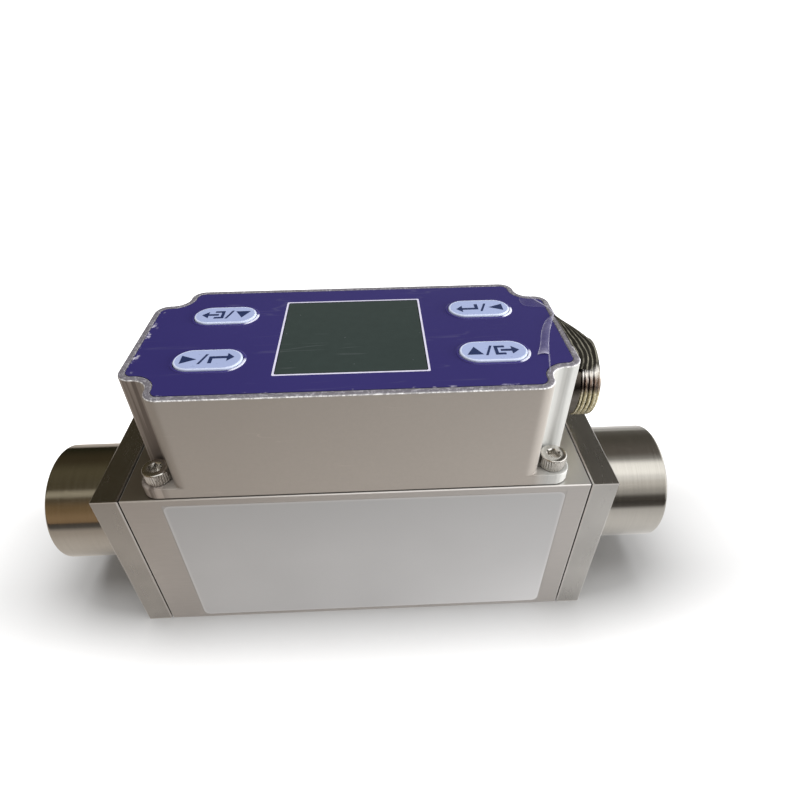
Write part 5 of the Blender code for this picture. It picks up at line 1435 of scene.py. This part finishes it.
def floor_material():
    """Matt white that glows a little to the camera, by the distance from a rectangle over a reach along
    each axis, a glow that paints a soft shadow round the object. In reflections it turns dark some way
    in front of the object."""
    material, tree, shader = new_material("pale_floor")
    x, y, _ = object_axes(tree)
    path = add_node(tree, "ShaderNodeLightPath").outputs
    bounce = mix_colour(tree, ramp_value(tree, x, *BOUNCE_CHANGE), FLOOR_LEFT, FLOOR_RIGHT)
    base = mix_colour(tree, path["Is Camera Ray"], bounce, FLOOR_SEEN)
    dark = times(tree, ramp_value(tree, y, *MIRROR_CHANGE, 1.0, 0.0), path["Is Glossy Ray"])
    # The glow to the camera, which rises away from the object, paints a soft shadow round it
    past = []
    for axis, core, reach in zip((x, y), GLOW_CORE, GLOW_REACH):
        beyond = maths(tree, "SUBTRACT", maths(tree, "ABSOLUTE", axis), core)
        past.append(maths(tree, "DIVIDE", maths(tree, "MAXIMUM", beyond, 0.0), reach))
    glow = ramp_value(tree, diagonal(tree, *past), *GLOW_CHANGE)
    # Unseen by the camera, the floor glows in front of the object, a glow that adds light to its front
    kick = times(tree, ramp_value(tree, y, *KICK_FRONT), FLOOR_KICK,
                 ramp_value(tree, diagonal(tree, x, y), *KICK_END, 1.0, 0.0))
    hidden = maths(tree, "SUBTRACT", 1.0, path["Is Camera Ray"])
    shine = maths(tree, "ADD", times(tree, path["Is Camera Ray"], glow), times(tree, hidden, kick))
    fill(tree, shader, Base_Color=mix_colour(tree, dark, base, FLOOR_MIRRORED), Roughness=1.0,
         Specular_IOR_Level=0.0, Emission_Color=(*WHITE, 1.0), Emission_Strength=shine)
    return material


def build_floor():
    """A pale floor under the object, dimmer beneath it than away from it, partly from its real shadow
    and partly from a painted shadow.
    """
    mesh = bpy.data.meshes.new("pale_floor")
    half = FLOOR_SIZE / 2
    mesh.from_pydata([(-half, -half, 0), (half, -half, 0), (half, half, 0), (-half, half, 0)], [],
                     [(0, 1, 2, 3)])
    mesh.materials.append(floor_material())
    floor = put_in_scene("pale_floor", mesh)
    floor.location = (0, 0, -FLOOR_DROP)


def add_lamp(name, place, size, power):
    """A square soft lamp that looks at the object, and doesn't show in reflections."""
    data = bpy.data.lights.new(name, "AREA")
    data.shape = "SQUARE"
    data.size = size
    data.energy = power
    lamp = put_in_scene(name, data)
    lamp.location = place
    lamp.rotation_euler = (Vector(place) - Vector(LAMP_TARGET)).to_track_quat("Z", "Y").to_euler()
    lamp.visible_glossy = False
    return lamp


def build_lamps():
    """A large lamp above, and one low on the right that leaves the floor out."""
    add_lamp("top_lamp", **TOP_LAMP)
    side = add_lamp("side_lamp", **SIDE_LAMP)
    unlit = bpy.data.collections.new("unlit_by_side_lamp")
    unlit.objects.link(bpy.data.objects["pale_floor"])
    side.light_linking.receiver_collection = unlit
    unlit.collection_objects[0].light_linking.link_state = "EXCLUDE"


# Operators and panel

class MFC_OT_stage(bpy.types.Operator):
    """Make the camera, the floor, the lamps and the world."""

    bl_idname = "mfc.stage"
    bl_label = "Build Stage"

    def execute(self, context):
        """Run the builders of the stage."""
        build_camera()
        build_world()
        build_floor()
        build_lamps()
        context.scene.view_settings.view_transform = "Standard"
        return {"FINISHED"}


class MFC_OT_packed_nodes(bpy.types.Operator):
    """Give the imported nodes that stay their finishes."""

    bl_idname = "mfc.packed_nodes"
    bl_label = "Finish Packed Nodes"

    def execute(self, context):
        """Run the builder."""
        finish_packed_nodes()
        return {"FINISHED"}


class MFC_OT_housing(bpy.types.Operator):
    """Build the electronics housing."""

    bl_idname = "mfc.housing"
    bl_label = "Build Housing"

    def execute(self, context):
        """Run the builder."""
        build_housing()
        return {"FINISHED"}


class MFC_OT_panel(bpy.types.Operator):
    """Build the panel film with its ridges and white line."""

    bl_idname = "mfc.panel"
    bl_label = "Build Panel"

    def execute(self, context):
        """Run the builder."""
        build_panel()
        return {"FINISHED"}


class MFC_OT_keys(bpy.types.Operator):
    """Build the keys and their symbols."""

    bl_idname = "mfc.keys"
    bl_label = "Build Keys"

    def execute(self, context):
        """Run the builder."""
        build_keys()
        return {"FINISHED"}


class MFC_OT_fittings(bpy.types.Operator):
    """Build the two end fittings."""

    bl_idname = "mfc.fittings"
    bl_label = "Build Fittings"

    def execute(self, context):
        """Run the builder for each side."""
        for name, side in FITTINGS:
            build_fitting(name, side)
        return {"FINISHED"}


class MFC_OT_screws(bpy.types.Operator):
    """Build the cap screws."""

    bl_idname = "mfc.screws"
    bl_label = "Build Screws"

    def execute(self, context):
        """Run the builder."""
        build_screws()
        return {"FINISHED"}


class MFC_OT_connector(bpy.types.Operator):
    """Build the threaded connector."""

    bl_idname = "mfc.connector"
    bl_label = "Build Connector"

    def execute(self, context):
        """Run the builder."""
        build_connector()
        return {"FINISHED"}


class MFC_OT_film(bpy.types.Operator):
    """Build the loose clear film."""

    bl_idname = "mfc.film"
    bl_label = "Build Clear Film"

    def execute(self, context):
        """Run the builder."""
        build_film()
        return {"FINISHED"}


class MFC_OT_label(bpy.types.Operator):
    """Build the blank label."""

    bl_idname = "mfc.label"
    bl_label = "Build Label"

    def execute(self, context):
        """Run the builder."""
        build_label()
        return {"FINISHED"}


class MFC_OT_spring(bpy.types.Operator):
    """Build the valve's spring."""

    bl_idname = "mfc.spring"
    bl_label = "Build Valve Spring"

    def execute(self, context):
        """Run the builder."""
        build_spring()
        return {"FINISHED"}


OPERATORS = (MFC_OT_stage, MFC_OT_packed_nodes, MFC_OT_housing, MFC_OT_panel, MFC_OT_keys, MFC_OT_fittings,
             MFC_OT_screws, MFC_OT_connector, MFC_OT_film, MFC_OT_label, MFC_OT_spring)


class MFC_PT_panel(bpy.types.Panel):
    """The builders and their settings in the sidebar."""

    bl_idname = "MFC_PT_panel"
    bl_label = "Flow Controller"
    bl_space_type = "VIEW_3D"
    bl_region_type = "UI"
    bl_category = "Flow Controller"

    def draw(self, context):
        """List the settings and the operators."""
        for settings in (context.scene.mfc_sizes, context.scene.mfc_colours):
            for key in settings.__annotations__:
                self.layout.prop(settings, key)
        for operator in OPERATORS:
            self.layout.operator(operator.bl_idname)


CLASSES = (MFC_Sizes, MFC_Colours, *OPERATORS, MFC_PT_panel)


def register():
    """Add the classes and the scene's settings."""
    for item in CLASSES:
        bpy.utils.register_class(item)
    bpy.types.Scene.mfc_sizes = PointerProperty(type=MFC_Sizes)
    bpy.types.Scene.mfc_colours = PointerProperty(type=MFC_Colours)


def unregister():
    """Take the classes and the settings away."""
    del bpy.types.Scene.mfc_colours
    del bpy.types.Scene.mfc_sizes
    for item in reversed(CLASSES):
        bpy.utils.unregister_class(item)


def main():
    """Build the stage and every piece."""
    register()
    bpy.ops.mfc.stage()
    bpy.ops.mfc.packed_nodes()
    bpy.ops.mfc.housing()
    bpy.ops.mfc.panel()
    bpy.ops.mfc.keys()
    bpy.ops.mfc.fittings()
    bpy.ops.mfc.screws()
    bpy.ops.mfc.connector()
    bpy.ops.mfc.film()
    bpy.ops.mfc.label()
    bpy.ops.mfc.spring()


if __name__ == "__main__":
    main()
